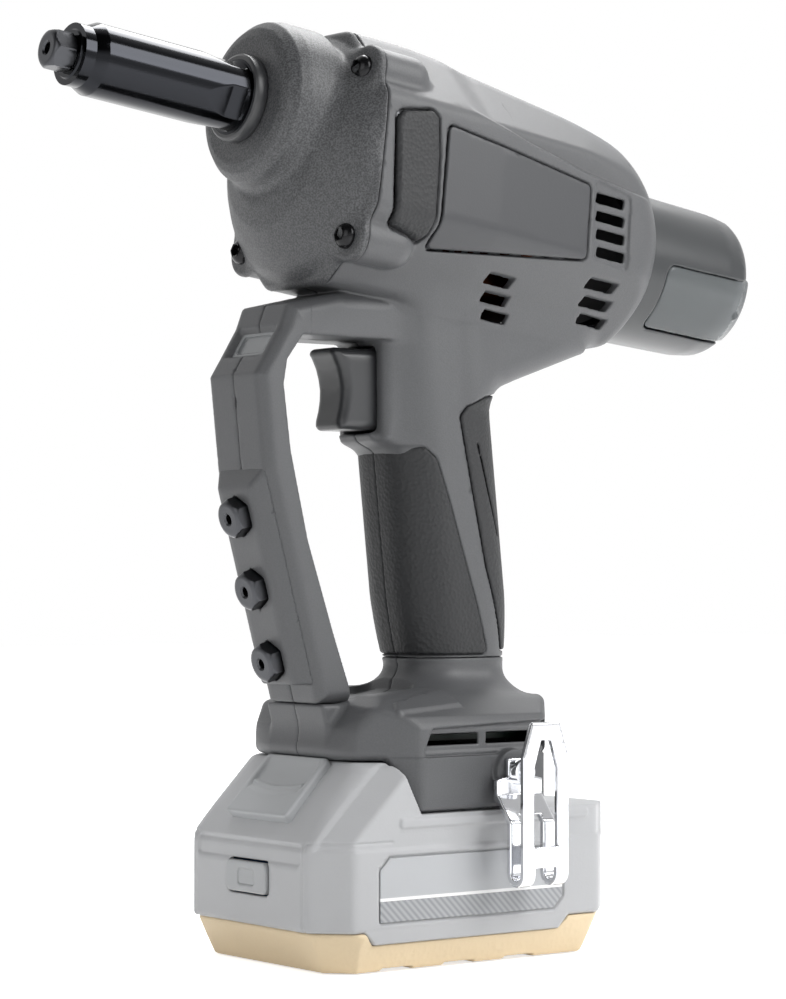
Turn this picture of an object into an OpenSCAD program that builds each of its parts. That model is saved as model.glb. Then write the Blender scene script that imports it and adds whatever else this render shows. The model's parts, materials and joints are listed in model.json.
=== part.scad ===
// Battery rivet tool: a pull mechanism and gear train in a clamshell body on a slide-on battery.
// The nose points towards -X, up is +Z, and the origin is the middle of the battery's underside.

/* [Barrel] */
// Tilt of the barrel, nose up, in degrees
barrel_tilt = 7; // [5:0.5:9]
// Height of the pull axis at the nose ring
pull_z = 245.3; // [243:0.1:249]
// How far the nose ring stands ahead of the battery's middle
nose_ahead = 55.3; // [53:0.1:58]
// Half width of the barrel
body_w = 36; // [35:0.5:38]
// Height of the barrel's top above the pull axis
body_top = 24.5; // [24:0.5:27]
// Depth of the barrel's underside below the pull axis
body_low = 50.5; // [50:0.5:53]
// Leg of the barrel's corner chamfers
body_cut = 21; // [18:0.5:22]
// Place of the joint between cover and body, behind the nose ring
seam_u = 25; // [25:0.5:26]
// Place of the body's rear face, behind the nose ring
rear_u = 137; // [135:0.5:140]
// Wall thickness of the mouldings
wall = 2.8; // [2.2:0.1:3]

/* [Nose] */
// Radius of the nose sleeve
sleeve_r = 10.2; // [10:0.1:11]
// Wall of the nose sleeve
sleeve_wall = 1.6; // [1.4:0.1:1.8]
// Length of the nose sleeve ahead of the ring
sleeve_l = 58; // [56:1:62]
// Length of the sleeve's front cone
cone_l = 7; // [5:0.5:9]
// Radius of the sleeve at its front edge
cone_r = 7.1; // [6.8:0.1:8]
// Width across the nozzle's flats
nozzle_af = 10; // [9:0.5:11]
// Height of the nozzle's hexagon
nozzle_h = 7; // [5:0.5:8]
// Radius of the nozzle's bore
nozzle_bore = 1.65; // [1.25:0.05:2.2]
// Radius of the nozzle's threaded shank
shank_r = 3.9; // [3.5:0.1:4]
// Outer radius of the ring at the cover
ring_r = 12.6; // [12:0.1:13.5]
// Thickness of the ring at the cover
ring_t = 4; // [3:0.5:5]
// Radius of the cover's boss at its front
boss_r = 16; // [15.5:0.5:17]
// Radius of the cover's boss at its foot
boss_foot_r = 24; // [22:0.5:25]

/* [Pull mechanism] */
// Stroke of the pull screw
stroke = 25; // [20:1:25]
// Radius of the pull screw
screw_r = 7.5; // [7:0.1:7.8]
// Radius of the pull screw's bore
screw_bore = 3.4; // [3.2:0.1:3.6]
// Radius of the jaw case
jaw_case_r = 8.2; // [8:0.1:8.3]
// Radius of the nut's body
nut_r = 11.95; // [11.5:0.05:12.5]
// Radial clearance of a running fit
run_gap = 0.05; // [0.03:0.01:0.08]
// Clearance beside moving pieces
gap = 0.3; // [0.25:0.05:0.4]
// Width of the gear pair
gear_w = 7; // [6:0.5:7]
// Module of the gear pair
gear_m = 1; // [0.95:0.05:1.05]
// Teeth on the nut gear
nut_teeth = 36; // [34:1:37]
// Teeth on the pinion
pinion_teeth = 24; // [23:1:25]
// Teeth of the planetary set's sun
sun_teeth = 15; // [12:3:18]
// Teeth of each planet
planet_teeth = 21; // [18:3:21]
// Module of the planetary set
planet_m = 0.5; // [0.4:0.05:0.5]
// Radius of the motor's case
motor_r = 16.5; // [15.5:0.1:16.8]
// Length of the motor's stator
stator_l = 40; // [34:1:42]
// Radius of the motor's rotor
rotor_r = 9.4; // [8.5:0.1:10]
// Radius of the motor's shaft
shaft_r = 2.5; // [2:0.1:2.8]

/* [Collector] */
// Drop of the collector's axis below the pull axis
collector_drop = 20.5; // [19:0.5:22]
// Radius of the collector at the body
collector_r = 25.5; // [24:0.5:26.5]
// Radius of the collector at its end
collector_end_r = 23; // [22:0.5:24]
// Length of the collector
collector_l = 47; // [44:1:54]
// Wall of the shroud round the collector's bottle
shroud_wall = 2; // [1.8:0.1:2.2]
// Wall of the clear bottle
bottle_wall = 1.6; // [1.4:0.1:2]

/* [Grip and trigger] */
// Lean of the grip from upright, in degrees
grip_lean = 6.1; // [5:0.1:7]
// Depth of the grip from front to back
grip_d = 36; // [35:0.5:38]
// Width of the grip
grip_w = 32; // [31:0.5:34]
// Corner radius of the grip
grip_round = 13; // [12:0.5:14]
// Distance of the grip's foot behind the battery's middle
grip_x = 16.2; // [15:0.1:17.5]
// Height of the grip's foot
grip_z = 86; // [85:0.5:87]
// Thickness of the moulded-on rubber
rubber = 1.2; // [0.8:0.1:1.6]
// Travel of the trigger
trigger_travel = 6; // [4:0.5:6]
// Half width of the trigger
trigger_w = 7.5; // [6.5:0.5:8.5]
// Height of the trigger's lower edge
trigger_z = 152; // [151:0.5:153]
// Height of the trigger
trigger_h = 24; // [22:0.5:24.5]
// Half width of the guard
guard_w = 14; // [13:0.5:15]
// Width of the guard's edge chamfers
guard_cut = 2.4; // [1.5:0.1:3]

/* [Foot and battery] */
// Length of the battery
battery_l = 108; // [106:1:114]
// Width of the battery
battery_w = 76; // [74:1:80]
// Leg of the battery's corner chamfers
battery_cut = 9.5; // [8:0.5:9.5]
// Height of the battery's base tray
tray_h = 11.5; // [10:0.5:13]
// Height of the battery's top
battery_top = 57.6; // [57:0.1:57.7]
// Height of the foot's underside
foot_z = 58; // [58:0.1:58.5]
// Half width of the foot
foot_w = 36; // [35.5:0.5:37]
// Height of the foot's lower side edges
skirt_z = 43.5; // [42.5:0.5:45]
// Thickness of the foot's side skirts
skirt_t = 3.2; // [2.8:0.1:3.6]
// Radius of a battery cell
cell_r = 9.1; // [9:0.05:9.2]
// Room from each end of a battery cell to the case's outside
cell_room = 5.5; // [5:0.25:6]
// Travel of the battery's latch
latch_travel = 3; // [2:0.5:3]
// Travel of the gauge button
gauge_travel = 0.8; // [0.5:0.1:1]

/* [Belt hook] */
// Width of the belt hook's strip
hook_w = 17; // [15:0.5:18]
// Thickness of the belt hook's strip
hook_t = 1.8; // [1.6:0.1:2.2]
// Inside width of the belt hook's bend
hook_gap = 10; // [9:0.5:12]
// Place of the belt hook behind the battery's middle
hook_x = 14; // [12:0.5:15]
// Radius of the hook's screw thread
hook_screw_r = 2; // [1.8:0.1:2.2]

/* [Hidden] */
$fn = 48;
eps = 0.01;
far = 400;
pressure_angle = 20;

// The barrel's side: flat up to the step, then drawn in towards the rear
step_u = seam_u + 43;
narrow = 4;
badge_t = 1.2;
badge_proud = 0.4;

// The gear train behind the nose ring, from front to back
axis_gap = (nut_teeth + pinion_teeth) * gear_m / 2;
gear_play = 0.08;
planet_play = 0.06;
pinion_turn = 180 + 180 / pinion_teeth;
planet_turn = 180 + 180 / planet_teeth;
ring_teeth = sun_teeth + 2 * planet_teeth;
ring_turn = planet_turn * planet_teeth / ring_teeth;
orbit_r = (sun_teeth + planet_teeth) * planet_m / 2;
ring_gear_r = ring_teeth * planet_m / 2 + 2.2;
gear_u = seam_u + 0.6;
gear_end = gear_u + gear_w;
carrier_u = gear_end + 0.6;
carrier_t = 2.4;
planet_u = carrier_u + carrier_t + 0.4;
planet_w = 8;
ring_u = planet_u - 0.6;
ring_end = planet_u + planet_w + 0.6;
thrust_u = ring_end + 1.2;
thrust_w = 8;
bearing_r = 17;
nut_front = seam_u - 11;
nut_end = thrust_u + thrust_w;
case_end = nut_end + 1;
front_bearing_w = 7;
pin_r = 1.5;
pinion_shaft_r = 4;
bush_r = 7;

// The motor behind the gear case
stator_u = case_end + 6;
stator_end = stator_u + stator_l;
fan_u = stator_end + 4;
fan_w = 6;
fan_r = motor_r - 1.5;
shaft_end = fan_u + fan_w + 6;
small_bearing_r = 5.5;
motor_mount_t = 3;

// The pull rod line
jaw_back = -11;
nose_room = 9;
jaw_front = nose_room - sleeve_l;
jaw_cone = 13 / 38;
jaw_seat_u = jaw_front + jaw_cone * (jaw_back - jaw_front);
jaw_bore = nozzle_bore + 0.1;
jaw_tip_r = 3.6;
jaw_seat_r = 6.3;
jaw_play = 0.1;
jaw_wall = 3;
pusher_t = 3;
spring_r = 4.6;
spring_wire_r = 0.6;
spring_pitch = 2.54;
screw_end = case_end + 25;
guide_front = screw_end - 12;
guide_r = screw_bore - gap;
guide_bore = guide_r - 0.8;
sleeve_bore = sleeve_r - sleeve_wall;
sleeve_root = 8;
shank_l = 6.5;
bulkhead_u = rear_u - 7;
bulkhead_t = 4;
bulkhead_r = collector_r - 4.1;
rail_half = 3;
rail_end = screw_end + stroke + 4;

// Cover screws, as [side, height] about the pull axis
cover_screw_y = 26;
cover_screw_v = [10.5, -37.5];
pillar_r = 7.2;
pillar_end = seam_u + 20;
cover_head_u = 22.4;
cover_head_r = 3.8;
cover_head_h = 3.4;
cover_thread_r = 2;
cover_thread_l = 20;

// The collector
shroud_u = rear_u + 0.02;
bottle_u = rear_u + 0.3;
bottle_slip = 0.4;
bottle_r = collector_r - shroud_wall - bottle_slip - 0.6;
spigot_r = bottle_r - bottle_wall - 0.8;
chute_w = 4.5;
chute_drop = 16;
collector_end = rear_u + collector_l;
window_count = 3;
window_half = 11;

// The guard, seen from the left: outer and inner edges from the top down
guard_front = [[-36, 194], [-48, 187], [-50.3, 181], [-55.8, 172], [-59.1, 166.8], [-56.2, 140], [-38, 73.7]];
guard_back = [
    [-27, 73.7], [-27.7, 78.1], [-33.5, 94], [-42.3, 120.2], [-48.2, 145.4], [-50.6, 164], [-49.4, 171],
    [-44, 178.2], [-6, 178.2], [-6, 196]
];
guard_part = [[-20, 60], [-42, 150], [-42, 210], [-80, 210], [-80, 60]];
guard_lean = atan2(-38 + 56.2, 140 - 73.7);
pad_top = [-56.2, 140];
pad_low = 79;
pad_t = 4;
pad_w = 8.2;
spare_z = [127.9, 107.4, 86.9];
spare_front_gap = 1;
lens_mid = [-53, 176.6];
lens_lean = 31.4;
lens_l = 8.5;
lens_w = 17;

// Rows of vent slots on the barrel, as [front, top, slots, length, shift and drop from slot to slot]
vent_h = 3;
vents = [[105.8, -8.8, 4, 11.5, 0.7, 5.3], [73.6, -38.2, 3, 10, 2.5, 4.7], [109.5, -33.2, 3, 11.5, 2.4, 4.7]];

// The trigger
trigger_front = -29.2;
trigger_back = -8.5;
cheek_front = -14.2;
cheek_low = 146.5;
cheek_w = 12;
lip_front = -17;
lip_w = 8.5;
switch_front = trigger_back + trigger_travel + 3;
switch_l = 19;
switch_w = 9;
plunger_r = 3;
switch_low = 140;
switch_h = 34;

// The foot
foot_front = -38.5;
foot_rear = 43;
foot_top = 76.5;
foot_wall = 2.5;
skirt_front = -19;
rail_low = 47.3;
rail_high = 49.7;
rail_in = 3;
board_z = 63;
blade_x = 27;
blade_l = 8;
neck_gap = 0.4;
blade_pitch = (foot_w - skirt_t - neck_gap - 8.4) / 2;
blade_y = [for (k = [-1.5, -0.5, 0.5, 1.5]) k * blade_pitch];
foot_side_top = 67;
foot_shoulder = 71.5;
slot_z = 61.5;
slot_l = 17.5;
slot_h = 3;
board_l = 52;
board_w = 2 * (foot_w - 10);
board_t = 1.6;
board_front = -22;
block_l = 14;
block_w = 4 * blade_pitch;
blade_t = 0.8;
blade_h = 7;
hook_hole_z = 54;
hook_low = 22;
hook_high = 69;
hook_head_r = 3.6;
hook_head_h = 2.4;
hook_stand = 2.4;
hook_y = max(foot_w + hook_stand, battery_w / 2 + 0.4);
hook_pad = [hook_w - 2, 12];
hook_blind = foot_w - skirt_t + 0.8;

// The battery
battery_rear = battery_l / 2;
slope_low = 34;
slope_knee = [5, 44];
slope_top = 18;
battery_wall = 2.4;
neck_w = foot_w - skirt_t - neck_gap;
board_side_gap = 4;
pack_board_y = neck_w - battery_wall - 4 - board_side_gap;
pack_board_front = -28;
pack_board_l = 68;
cell_l = battery_w - 2 * cell_room;
cell_pitch = 18.4;
// Pads under the battery, and their distance from its edges
stand_pad_l = 14;
stand_pad_w = 8;
stand_pad_t = 1.2;
stand_pad_in = 15;
cell_rows = [12.9, 31.4];
cell_columns = 5;
holder_t = 4;
holder_open = 2.5;
latch_w = 15;
latch_t = 4;
latch_h = 22;
latch_low = -12;
latch_deep = 3;
gauge_z = 25;
gauge_w = 20;
gauge_h = 9;
gauge_t = 2.4;
gauge_proud = 0.4;
plate_t = 0.6;
plate_x = -35;
plate_l = 66;
plate_z = 14;
plate_h = 18;

// Screws that hold the halves together, as [x, z, where the half ends]
body_screws = [[62, 18], [120, 9.5]];
grip_screws = [[10.8, 131], [19, 92.5]];
foot_screws = [[-27, 66.5], [39.2, 63.5]];
half_screw_r = 1.6;
half_boss_r = 3.1;
half_head_r = 2.9;
half_screw_l = 14;

// The barrel's own frame: +X runs rearwards along the pull axis, +Z is square to it
module on_barrel() {
    translate([-nose_ahead, 0, pull_z]) rotate([0, barrel_tilt, 0]) children();
}

// A rod along the barrel from one place to another
module rod(r, from, to, v = 0, y = 0) {
    translate([from, y, v]) rotate([0, 90, 0]) cylinder(r = r, h = to - from);
}

// A tube along the barrel
module tube(outer, inner, from, to, v = 0) {
    difference() {
        rod(outer, from, to, v);
        rod(inner, from - 1, to + 1, v);
    }
}

// A turned piece along the barrel, from [radius, place] points
module turned(points, v = 0) {
    translate([0, 0, v]) rotate([0, 90, 0]) rotate_extrude() polygon(points);
}

// A profile in the X-Z plane, as wide as 2 * half in Y
module side_slab(points, half) {
    translate([0, half, 0]) rotate([90, 0, 0]) linear_extrude(2 * half) polygon(points);
}

// A profile in the Y-Z plane, drawn along X
module end_slab(points, from, to) {
    translate([from, 0, 0]) rotate([90, 0, 90]) linear_extrude(to - from) polygon(points);
}

// A rod across the tool from one side to the other
module cross_rod(r, x, z, from, to) {
    translate([x, from, z]) rotate([-90, 0, 0]) cylinder(r = r, h = to - from);
}

// The half space of one side: -1 is the left, +1 the right
module half_space(side) {
    translate([-far / 2, side < 0 ? -far : 0, -far / 2]) cube([far, far, 2 * far]);
}

// A rounded rectangle
module rounded(l, w, r) {
    square([l - 2 * r, w], center = true);
    square([l, w - 2 * r], center = true);
    for (x = [-1, 1], y = [-1, 1])
        translate([x * (l / 2 - r), y * (w / 2 - r)]) circle(r);
}

// Involute function of an angle in degrees
function inv(a) = tan(a) * 180 / PI - a;

// Half angle of a tooth at radius p, on a gear of pitch radius r and base radius b
function half_tooth(p, r, b, teeth, play) =
    90 / teeth - play / r * 180 / PI + inv(pressure_angle) - inv(p > b ? acos(b / p) : 0);

// Outline of a gear with involute flanks, first tooth on +X, each flank thinned by play
module gear_outline(teeth, m, play, add = 0.9, ded = 1.25) {
    r = teeth * m / 2;
    b = r * cos(pressure_angle);
    low = r - ded * m;
    high = r + add * m;
    start = max(low, b);
    steps = 4;
    flank = [for (i = [0:steps]) start + (high - start) * i / steps];
    polygon([
        for (k = [0:teeth - 1])
            let (at = 360 * k / teeth)
            each concat(
                [let (h = half_tooth(start, r, b, teeth, play)) low * [cos(at - h), sin(at - h)]],
                [for (p = flank) let (h = half_tooth(p, r, b, teeth, play)) p * [cos(at - h), sin(at - h)]],
                [for (i = [steps:-1:0])
                    let (p = flank[i], h = half_tooth(p, r, b, teeth, play)) p * [cos(at + h), sin(at + h)]],
                [let (h = half_tooth(start, r, b, teeth, play)) low * [cos(at + h), sin(at + h)]]
            )
    ]);
}

// A gear along the barrel
module gear(teeth, m, play, from, to, v, turn = 0, y = 0) {
    translate([from, y, v]) rotate([0, 90, 0]) rotate([0, 0, turn])
        linear_extrude(to - from) gear_outline(teeth, m, play);
}

// A coil spring along +X from the origin, as one swept tube
module coil_spring(mean_r, wire_r, length, turns) {
    sides = 6;
    per_turn = 10;
    rings = turns * per_turn;
    pitch = (length - 2 * wire_r) / turns;
    points = [
        for (i = [0:rings], j = [0:sides - 1])
            let (a = 360 * i / per_turn, c = 360 * j / sides, q = mean_r + wire_r * cos(c))
            [wire_r + pitch * i / per_turn + wire_r * sin(c), q * cos(a), q * sin(a)]
    ];
    walls = [
        for (i = [0:rings - 1], j = [0:sides - 1])
            let (k = (j + 1) % sides, a = i * sides, b = a + sides)
            each [[a + j, a + k, b + k], [a + j, b + k, b + j]]
    ];
    ends = [
        for (j = [1:sides - 2])
            each [[0, j + 1, j], [rings * sides, rings * sides + j, rings * sides + j + 1]]
    ];
    polyhedron(points, concat(walls, ends));
}

// Barrel section: a rectangle with cut corners, drawn i inside its outline
function barrel_section(i) =
    let (w = body_w - i, top = body_top - i, low = -body_low + i, c = body_cut - 0.586 * i)
    [[w - c, top], [w, top - c], [w, low + c], [w - c, low],
     [c - w, low], [-w, low + c], [-w, top - c], [c - w, top]];

// Barrel from the cover joint to the rounded rear
module barrel_shape(i, front) {
    intersection() {
        end_slab(barrel_section(i), front, rear_u - i);
        side_slab([
            [front - 1, body_top - i], [step_u, body_top - i], [step_u + 3, body_top - 2 - i],
            [rear_u, body_top - 10.5 - i], [rear_u, -body_low - 4 + i], [front - 1, -body_low + i]
        ], body_w + 1);
        linear_extrude(4 * far, center = true) polygon([
            [front - 1, body_w - i], [step_u, body_w - i], [rear_u, body_w - narrow - i],
            [rear_u, narrow + i - body_w], [step_u, i - body_w], [front - 1, i - body_w]
        ]);
        turned([
            [0, front - 1], [80, front - 1], [80, rear_u - 40], [body_w + 3 - i, rear_u - 26],
            [body_w - 1 - i, rear_u - 10], [body_w - 4.5 - i, rear_u - 3.5 - i / 2],
            [body_w - 9 - i, rear_u - i], [0, rear_u - i]
        ], -collector_drop);
    }
}

// Pillars that take the cover's screws
module cover_pillars(r, from, to) {
    for (y = [-1, 1], v = cover_screw_v) rod(r, from, to, v, y * cover_screw_y);
}

// Grip column, grown by o, from its foot up into the barrel
module grip_shape(o, from = 0, to = 104) {
    translate([grip_x, 0, grip_z]) rotate([0, -grip_lean, 0]) translate([0, 0, from])
        linear_extrude(to - from) rounded(grip_d + 2 * o, grip_w + 2 * o, grip_round + o);
}

// Neck that carries the grip's back into the barrel
module neck_shape(i) {
    neck_w = 16;
    side_slab([[14, 160 + i], [25.5 - i, 165 + i], [36 - i, 169 + i], [60 - i, 177.5 + i],
        [60 - i, 192], [14, 192]], neck_w - i);
}

// A chamfer along an edge from p to q, in the X-Z plane, at one side
module edge_cut(p, q, y, size) {
    d = q - p;
    translate([p[0], y, p[1]]) rotate([0, atan2(d[0], d[1]), 0])
        rotate([0, 0, 45]) cube([size * sqrt(2), size * sqrt(2), 2 * norm(d) + 2], center = true);
}

// Hand guard from the barrel down to the foot
module guard_shape() {
    difference() {
        side_slab(concat(guard_front, guard_back), guard_w);
        for (s = [-1, 1]) {
            edge_cut(guard_front[4], guard_front[6], s * guard_w, guard_cut);
            edge_cut(guard_front[4], guard_front[1], s * guard_w, guard_cut - 0.5);
        }
    }
}

// Cheeks beside the trigger and the lip below it
module trigger_cheeks() {
    high = guard_back[7][1] + 4;
    low = trigger_z - 0.6;
    side_slab([[cheek_front, cheek_low], [0, cheek_low], [0, high], [cheek_front, high]], cheek_w);
    side_slab([[lip_front, low], [cheek_front, cheek_low], [0, cheek_low], [0, low]], lip_w);
}

// Both halves of the body before they are parted
module body_solid() {
    difference() {
        union() {
            on_barrel() {
                barrel_shape(0, seam_u);
                cover_pillars(pillar_r, seam_u, pillar_end);
            }
            grip_shape(0, -4);
            neck_shape(0);
            guard_shape();
            trigger_cheeks();
        }
        difference() {
            union() {
                on_barrel() barrel_shape(wall, seam_u - 1);
                grip_shape(-wall, wall);
                neck_shape(wall);
            }
            on_barrel() {
                for (s = body_screws) cross_rod(half_boss_r, s[0], s[1], -body_w, body_w);
                // Ribs that carry the motor, the guide and the bulkhead
                for (u = [stator_end - 6, stator_u + 6, fan_u + fan_w + 2])
                    translate([u, -body_w, -body_low - 30]) cube([2, 2 * body_w, body_low + body_top + 40]);
            }
            for (s = grip_screws) cross_rod(half_boss_r, s[0], s[1], -grip_w / 2, grip_w / 2);
            // Ribs that carry the switch
            for (z = [switch_low + 3, switch_low + switch_h - 6])
                translate([-far / 2, -far / 2, z]) cube([far, far, 2]);
        }
        on_barrel() {
            // Room for what turns or slides past the ribs
            rod(motor_r + 0.1, stator_u - 8, fan_u + fan_w + 1, -axis_gap);
            rod(small_bearing_r + 0.1, stator_u, shaft_end - 1, -axis_gap);
            translate([seam_u, -9, -9]) cube([rail_end + 1 - seam_u, 18, 23]);
            rod(guide_r + gap, seam_u, rear_u + 1);
            rod(bulkhead_r + 0.1, bulkhead_u - gap, rear_u + 1, -collector_drop);
            rod(guide_r + 2.1, bulkhead_u - 5, bulkhead_u + bulkhead_t + 0.1);
            // Screw holes behind the cover
            for (y = [-1, 1], v = cover_screw_v)
                rod(cover_thread_r + 0.02, seam_u - 1, cover_head_u + cover_thread_l - 0.6, v,
                    y * cover_screw_y);
            // Vent slots through both sides
            for (row = vents, k = [0:row[2] - 1])
                translate([row[0] + k * row[4], -body_w - 9, row[1] - k * row[5] - vent_h])
                    cube([row[3], 2 * body_w + 18, vent_h]);
            // Shallow seats for the side pads and the badges
            for (s = [-1, 1]) {
                translate([0, s * body_w, 0]) pad_block(0.05, 1.2);
                intersection() {
                    translate([0, s * body_w, 0]) badge_block(0.05, 9);
                    side_skin(s, badge_t + 0.02, 9);
                }
            }
        }
        // Level foot of the grip
        translate([grip_x - 30, -far / 2, grip_z - 20]) cube([60, far, 20]);
        // Space of the front cover
        on_barrel() translate([-20, -far / 2, -body_low - 0.1]) cube([20 + seam_u, far, far]);
        // Trigger opening and switch room
        translate([trigger_front - 3, -trigger_w - gap, trigger_z - 0.6])
            cube([switch_front - trigger_front + 3, 2 * (trigger_w + gap), trigger_h + 1]);
        translate([switch_front - 1, -switch_w - 0.1, switch_low - 0.1])
            cube([switch_l + 1.1, 2 * switch_w + 0.2, switch_h + 0.2]);
        // Lamp seat, spare nozzle holes and pad seat
        lens_place() translate([-1.5, 0, 0]) cube([5, lens_w + 0.2, lens_l + 0.2], center = true);
        spare_places() rod(shank_r + 0.05, 0, 9);
        // Screw holes and head seats of the right half
        on_barrel() for (s = body_screws) half_screw_hole(s[0], s[1], body_w);
        for (s = grip_screws) half_screw_hole(s[0], s[1], grip_w / 2);
    }
}

// Hole for a screw that joins the halves, with its head on the right side
module half_screw_hole(x, z, half) {
    cross_rod(half_screw_r + 0.05, x, z, -half_screw_l / 2 - 1, half + 9);
    cross_rod(half_head_r + 0.1, x, z, half_screw_l / 2, half + 9);
}

module pad_block(grow, depth) {
    translate([seam_u + 3.5 - grow, -depth, -34 - grow]) cube([13.5 + 2 * grow, 2 * depth, 32.5 + 2 * grow]);
}

// A skin over one flat side of the barrel, from deep inside it to proud of it
module side_skin(s, deep, proud) {
    linear_extrude(far, center = true) polygon([
        [0, s * (body_w - deep)], [step_u, s * (body_w - deep)], [rear_u, s * (body_w - narrow - deep)],
        [rear_u, s * (body_w - narrow + proud)], [step_u, s * (body_w + proud)], [0, s * (body_w + proud)]
    ]);
}

module badge_block(grow, depth) {
    rotate([90, 0, 0]) linear_extrude(2 * depth, center = true) polygon([
        [seam_u + 22 - grow, -1.5 + grow], [seam_u + 77.5 + grow, -7.5 + grow],
        [seam_u + 78.5 + grow, -29.5 - grow], [seam_u + 22.8 - grow, -36.5 - grow]
    ]);
}

// Side view of the room that the guard takes, in front of the grip and the trigger
module guard_room() {
    side_slab(guard_part, guard_w + 5);
}

// The bar round the fingers, which each half carries in front of its grip
module trigger_guard() {
    color("dimgray") intersection() { body_solid(); guard_room(); }
}

module housing_half(side) {
    color("dimgray") intersection() {
        difference() { body_solid(); guard_room(); }
        half_space(side);
    }
}

module housing_left() { housing_half(-1); }
module housing_right() { housing_half(1); }

// Front cover with its boss, screw lobes and bearing seats
module front_cover() {
    dome_v = -13;
    color("#505254") on_barrel() difference() {
        union() {
            intersection() {
                end_slab(barrel_section(0), 6, seam_u);
                turned([[0, 8.5], [15, 8.5], [22, 11], [28, 15], [33, 19], [36, 22.5], [41, seam_u - 0.7],
                    [41, seam_u], [0, seam_u]], dome_v);
            }
            turned([[0, 0], [boss_r + 2.5, 0], [boss_r + 5, 1], [boss_foot_r - 0.8, 3.4], [boss_foot_r, 7],
                [boss_foot_r, 14], [0, 14]]);
            intersection() {
                cover_pillars(pillar_r, cover_head_u - cover_head_h - 0.7, seam_u);
                translate([0, -far / 2, -far / 2]) cube([seam_u, far, far]);
            }
        }
        // Sleeve thread and the room for the jaw case behind it
        rod(sleeve_r + 0.02, -1, sleeve_root + 0.02);
        rod(jaw_case_r + 0.8, 0, seam_u);
        rod(bearing_r + 0.02, nut_front, seam_u + 1);
        rod(bush_r + 0.02, nut_front + 0.3, seam_u + 1, -axis_gap);
        // Lightening pockets round the seats
        difference() {
            intersection() {
                end_slab(barrel_section(4), 17.5, seam_u + 1);
                turned([[0, 17.5], [24, 17.5], [30, 21.5], [30, seam_u + 1], [0, seam_u + 1]], dome_v);
            }
            rod(bearing_r + 2.4, 0, seam_u + 2);
            rod(bush_r + 2.4, 0, seam_u + 2, -axis_gap);
            cover_pillars(pillar_r - 1.2, 0, seam_u + 2);
            translate([10, -1.5, -axis_gap]) cube([seam_u, 3, axis_gap]);
        }
        for (y = [-1, 1], v = cover_screw_v) {
            rod(cover_thread_r + 0.1, 0, seam_u + 1, v, y * cover_screw_y);
            rod(cover_head_r + gap, -1, cover_head_u, v, y * cover_screw_y);
        }
    }
}

module cover_screws() {
    head = cover_head_u;
    socket_r = 1.7;
    color("#1c1c1e") on_barrel() for (y = [-1, 1], v = cover_screw_v) difference() {
        union() {
            rod(cover_head_r, head - cover_head_h, head, v, y * cover_screw_y);
            rod(cover_thread_r, head - eps, head + cover_thread_l - 2, v, y * cover_screw_y);
        }
        translate([head - cover_head_h - 1, y * cover_screw_y, v]) rotate([0, 90, 0])
            cylinder(r = socket_r, h = 3, $fn = 6);
    }
}

module nose_ring() {
    color("#151515") on_barrel() difference() {
        turned([[0, -ring_t], [ring_r - 1, -ring_t], [ring_r, -ring_t + 1], [ring_r, -0.02], [0, -0.02]]);
        rod(sleeve_r + 0.03, -ring_t - 1, 1);
    }
}

// Sleeve with its front cone, wrench flats and nozzle thread
module nose_sleeve() {
    flats_af = 2 * sleeve_r - 1.8;
    flats_u = -ring_t - 11;
    front_wall = 6;
    color("#2b2c2f") on_barrel() difference() {
        union() {
            difference() {
                turned([[0, -sleeve_l], [cone_r - 0.5, -sleeve_l], [cone_r, -sleeve_l + 0.5],
                    [sleeve_r, -sleeve_l + cone_l], [sleeve_r, sleeve_root], [0, sleeve_root]]);
                translate([flats_u, 0, 0]) difference() {
                    rod(sleeve_r + 1, 0, 9);
                    translate([-1, 0, 0]) rotate([0, 90, 0]) rotate([0, 0, 15])
                        cylinder(r = flats_af / 2 / cos(30), h = 12, $fn = 6);
                }
            }
        }
        rod(sleeve_bore, -sleeve_l + front_wall, sleeve_root + 1);
        rod(shank_r + 0.05, -sleeve_l - 1, -sleeve_l + front_wall + 1);
    }
}

// A nozzle along the barrel, its hexagon's back at the origin
module nozzle_shape(bore, shank) {
    difference() {
        union() {
            intersection() {
                translate([-nozzle_h, 0, 0]) rotate([0, 90, 0])
                    cylinder(r = nozzle_af / 2 / cos(30), h = nozzle_h - 0.8, $fn = 6);
                turned([[0, -nozzle_h], [nozzle_af / 2 - 0.9, -nozzle_h],
                    [nozzle_af / 2 + 1, -nozzle_h + 1.4],
                    [nozzle_af / 2 + 1, 0], [0, 0]]);
            }
            rod(cone_r - 1.2, -0.8 - eps, 0);
            rod(shank_r, -eps, shank);
        }
        rod(bore, -nozzle_h - 1, shank + 1);
    }
}

module nozzle() {
    color("#3a3b3e") on_barrel() translate([-sleeve_l - 0.02, 0, 0]) nozzle_shape(nozzle_bore, shank_l);
}

// Jaw case with its conical seat, screwed to the pull screw
module jaw_case() {
    color("silver") on_barrel() difference() {
        turned([[0, jaw_front], [jaw_case_r - 1.5, jaw_front], [jaw_case_r, jaw_front + 2],
            [jaw_case_r, jaw_back], [0, jaw_back]]);
        turned([[0, jaw_front - 1], [jaw_tip_r, jaw_front - 1], [jaw_tip_r, jaw_front],
            [jaw_seat_r, jaw_seat_u], [jaw_seat_r, jaw_back - jaw_wall], [0, jaw_back - jaw_wall]]);
        rod(screw_bore, jaw_front, jaw_back + 1);
    }
}

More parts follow.
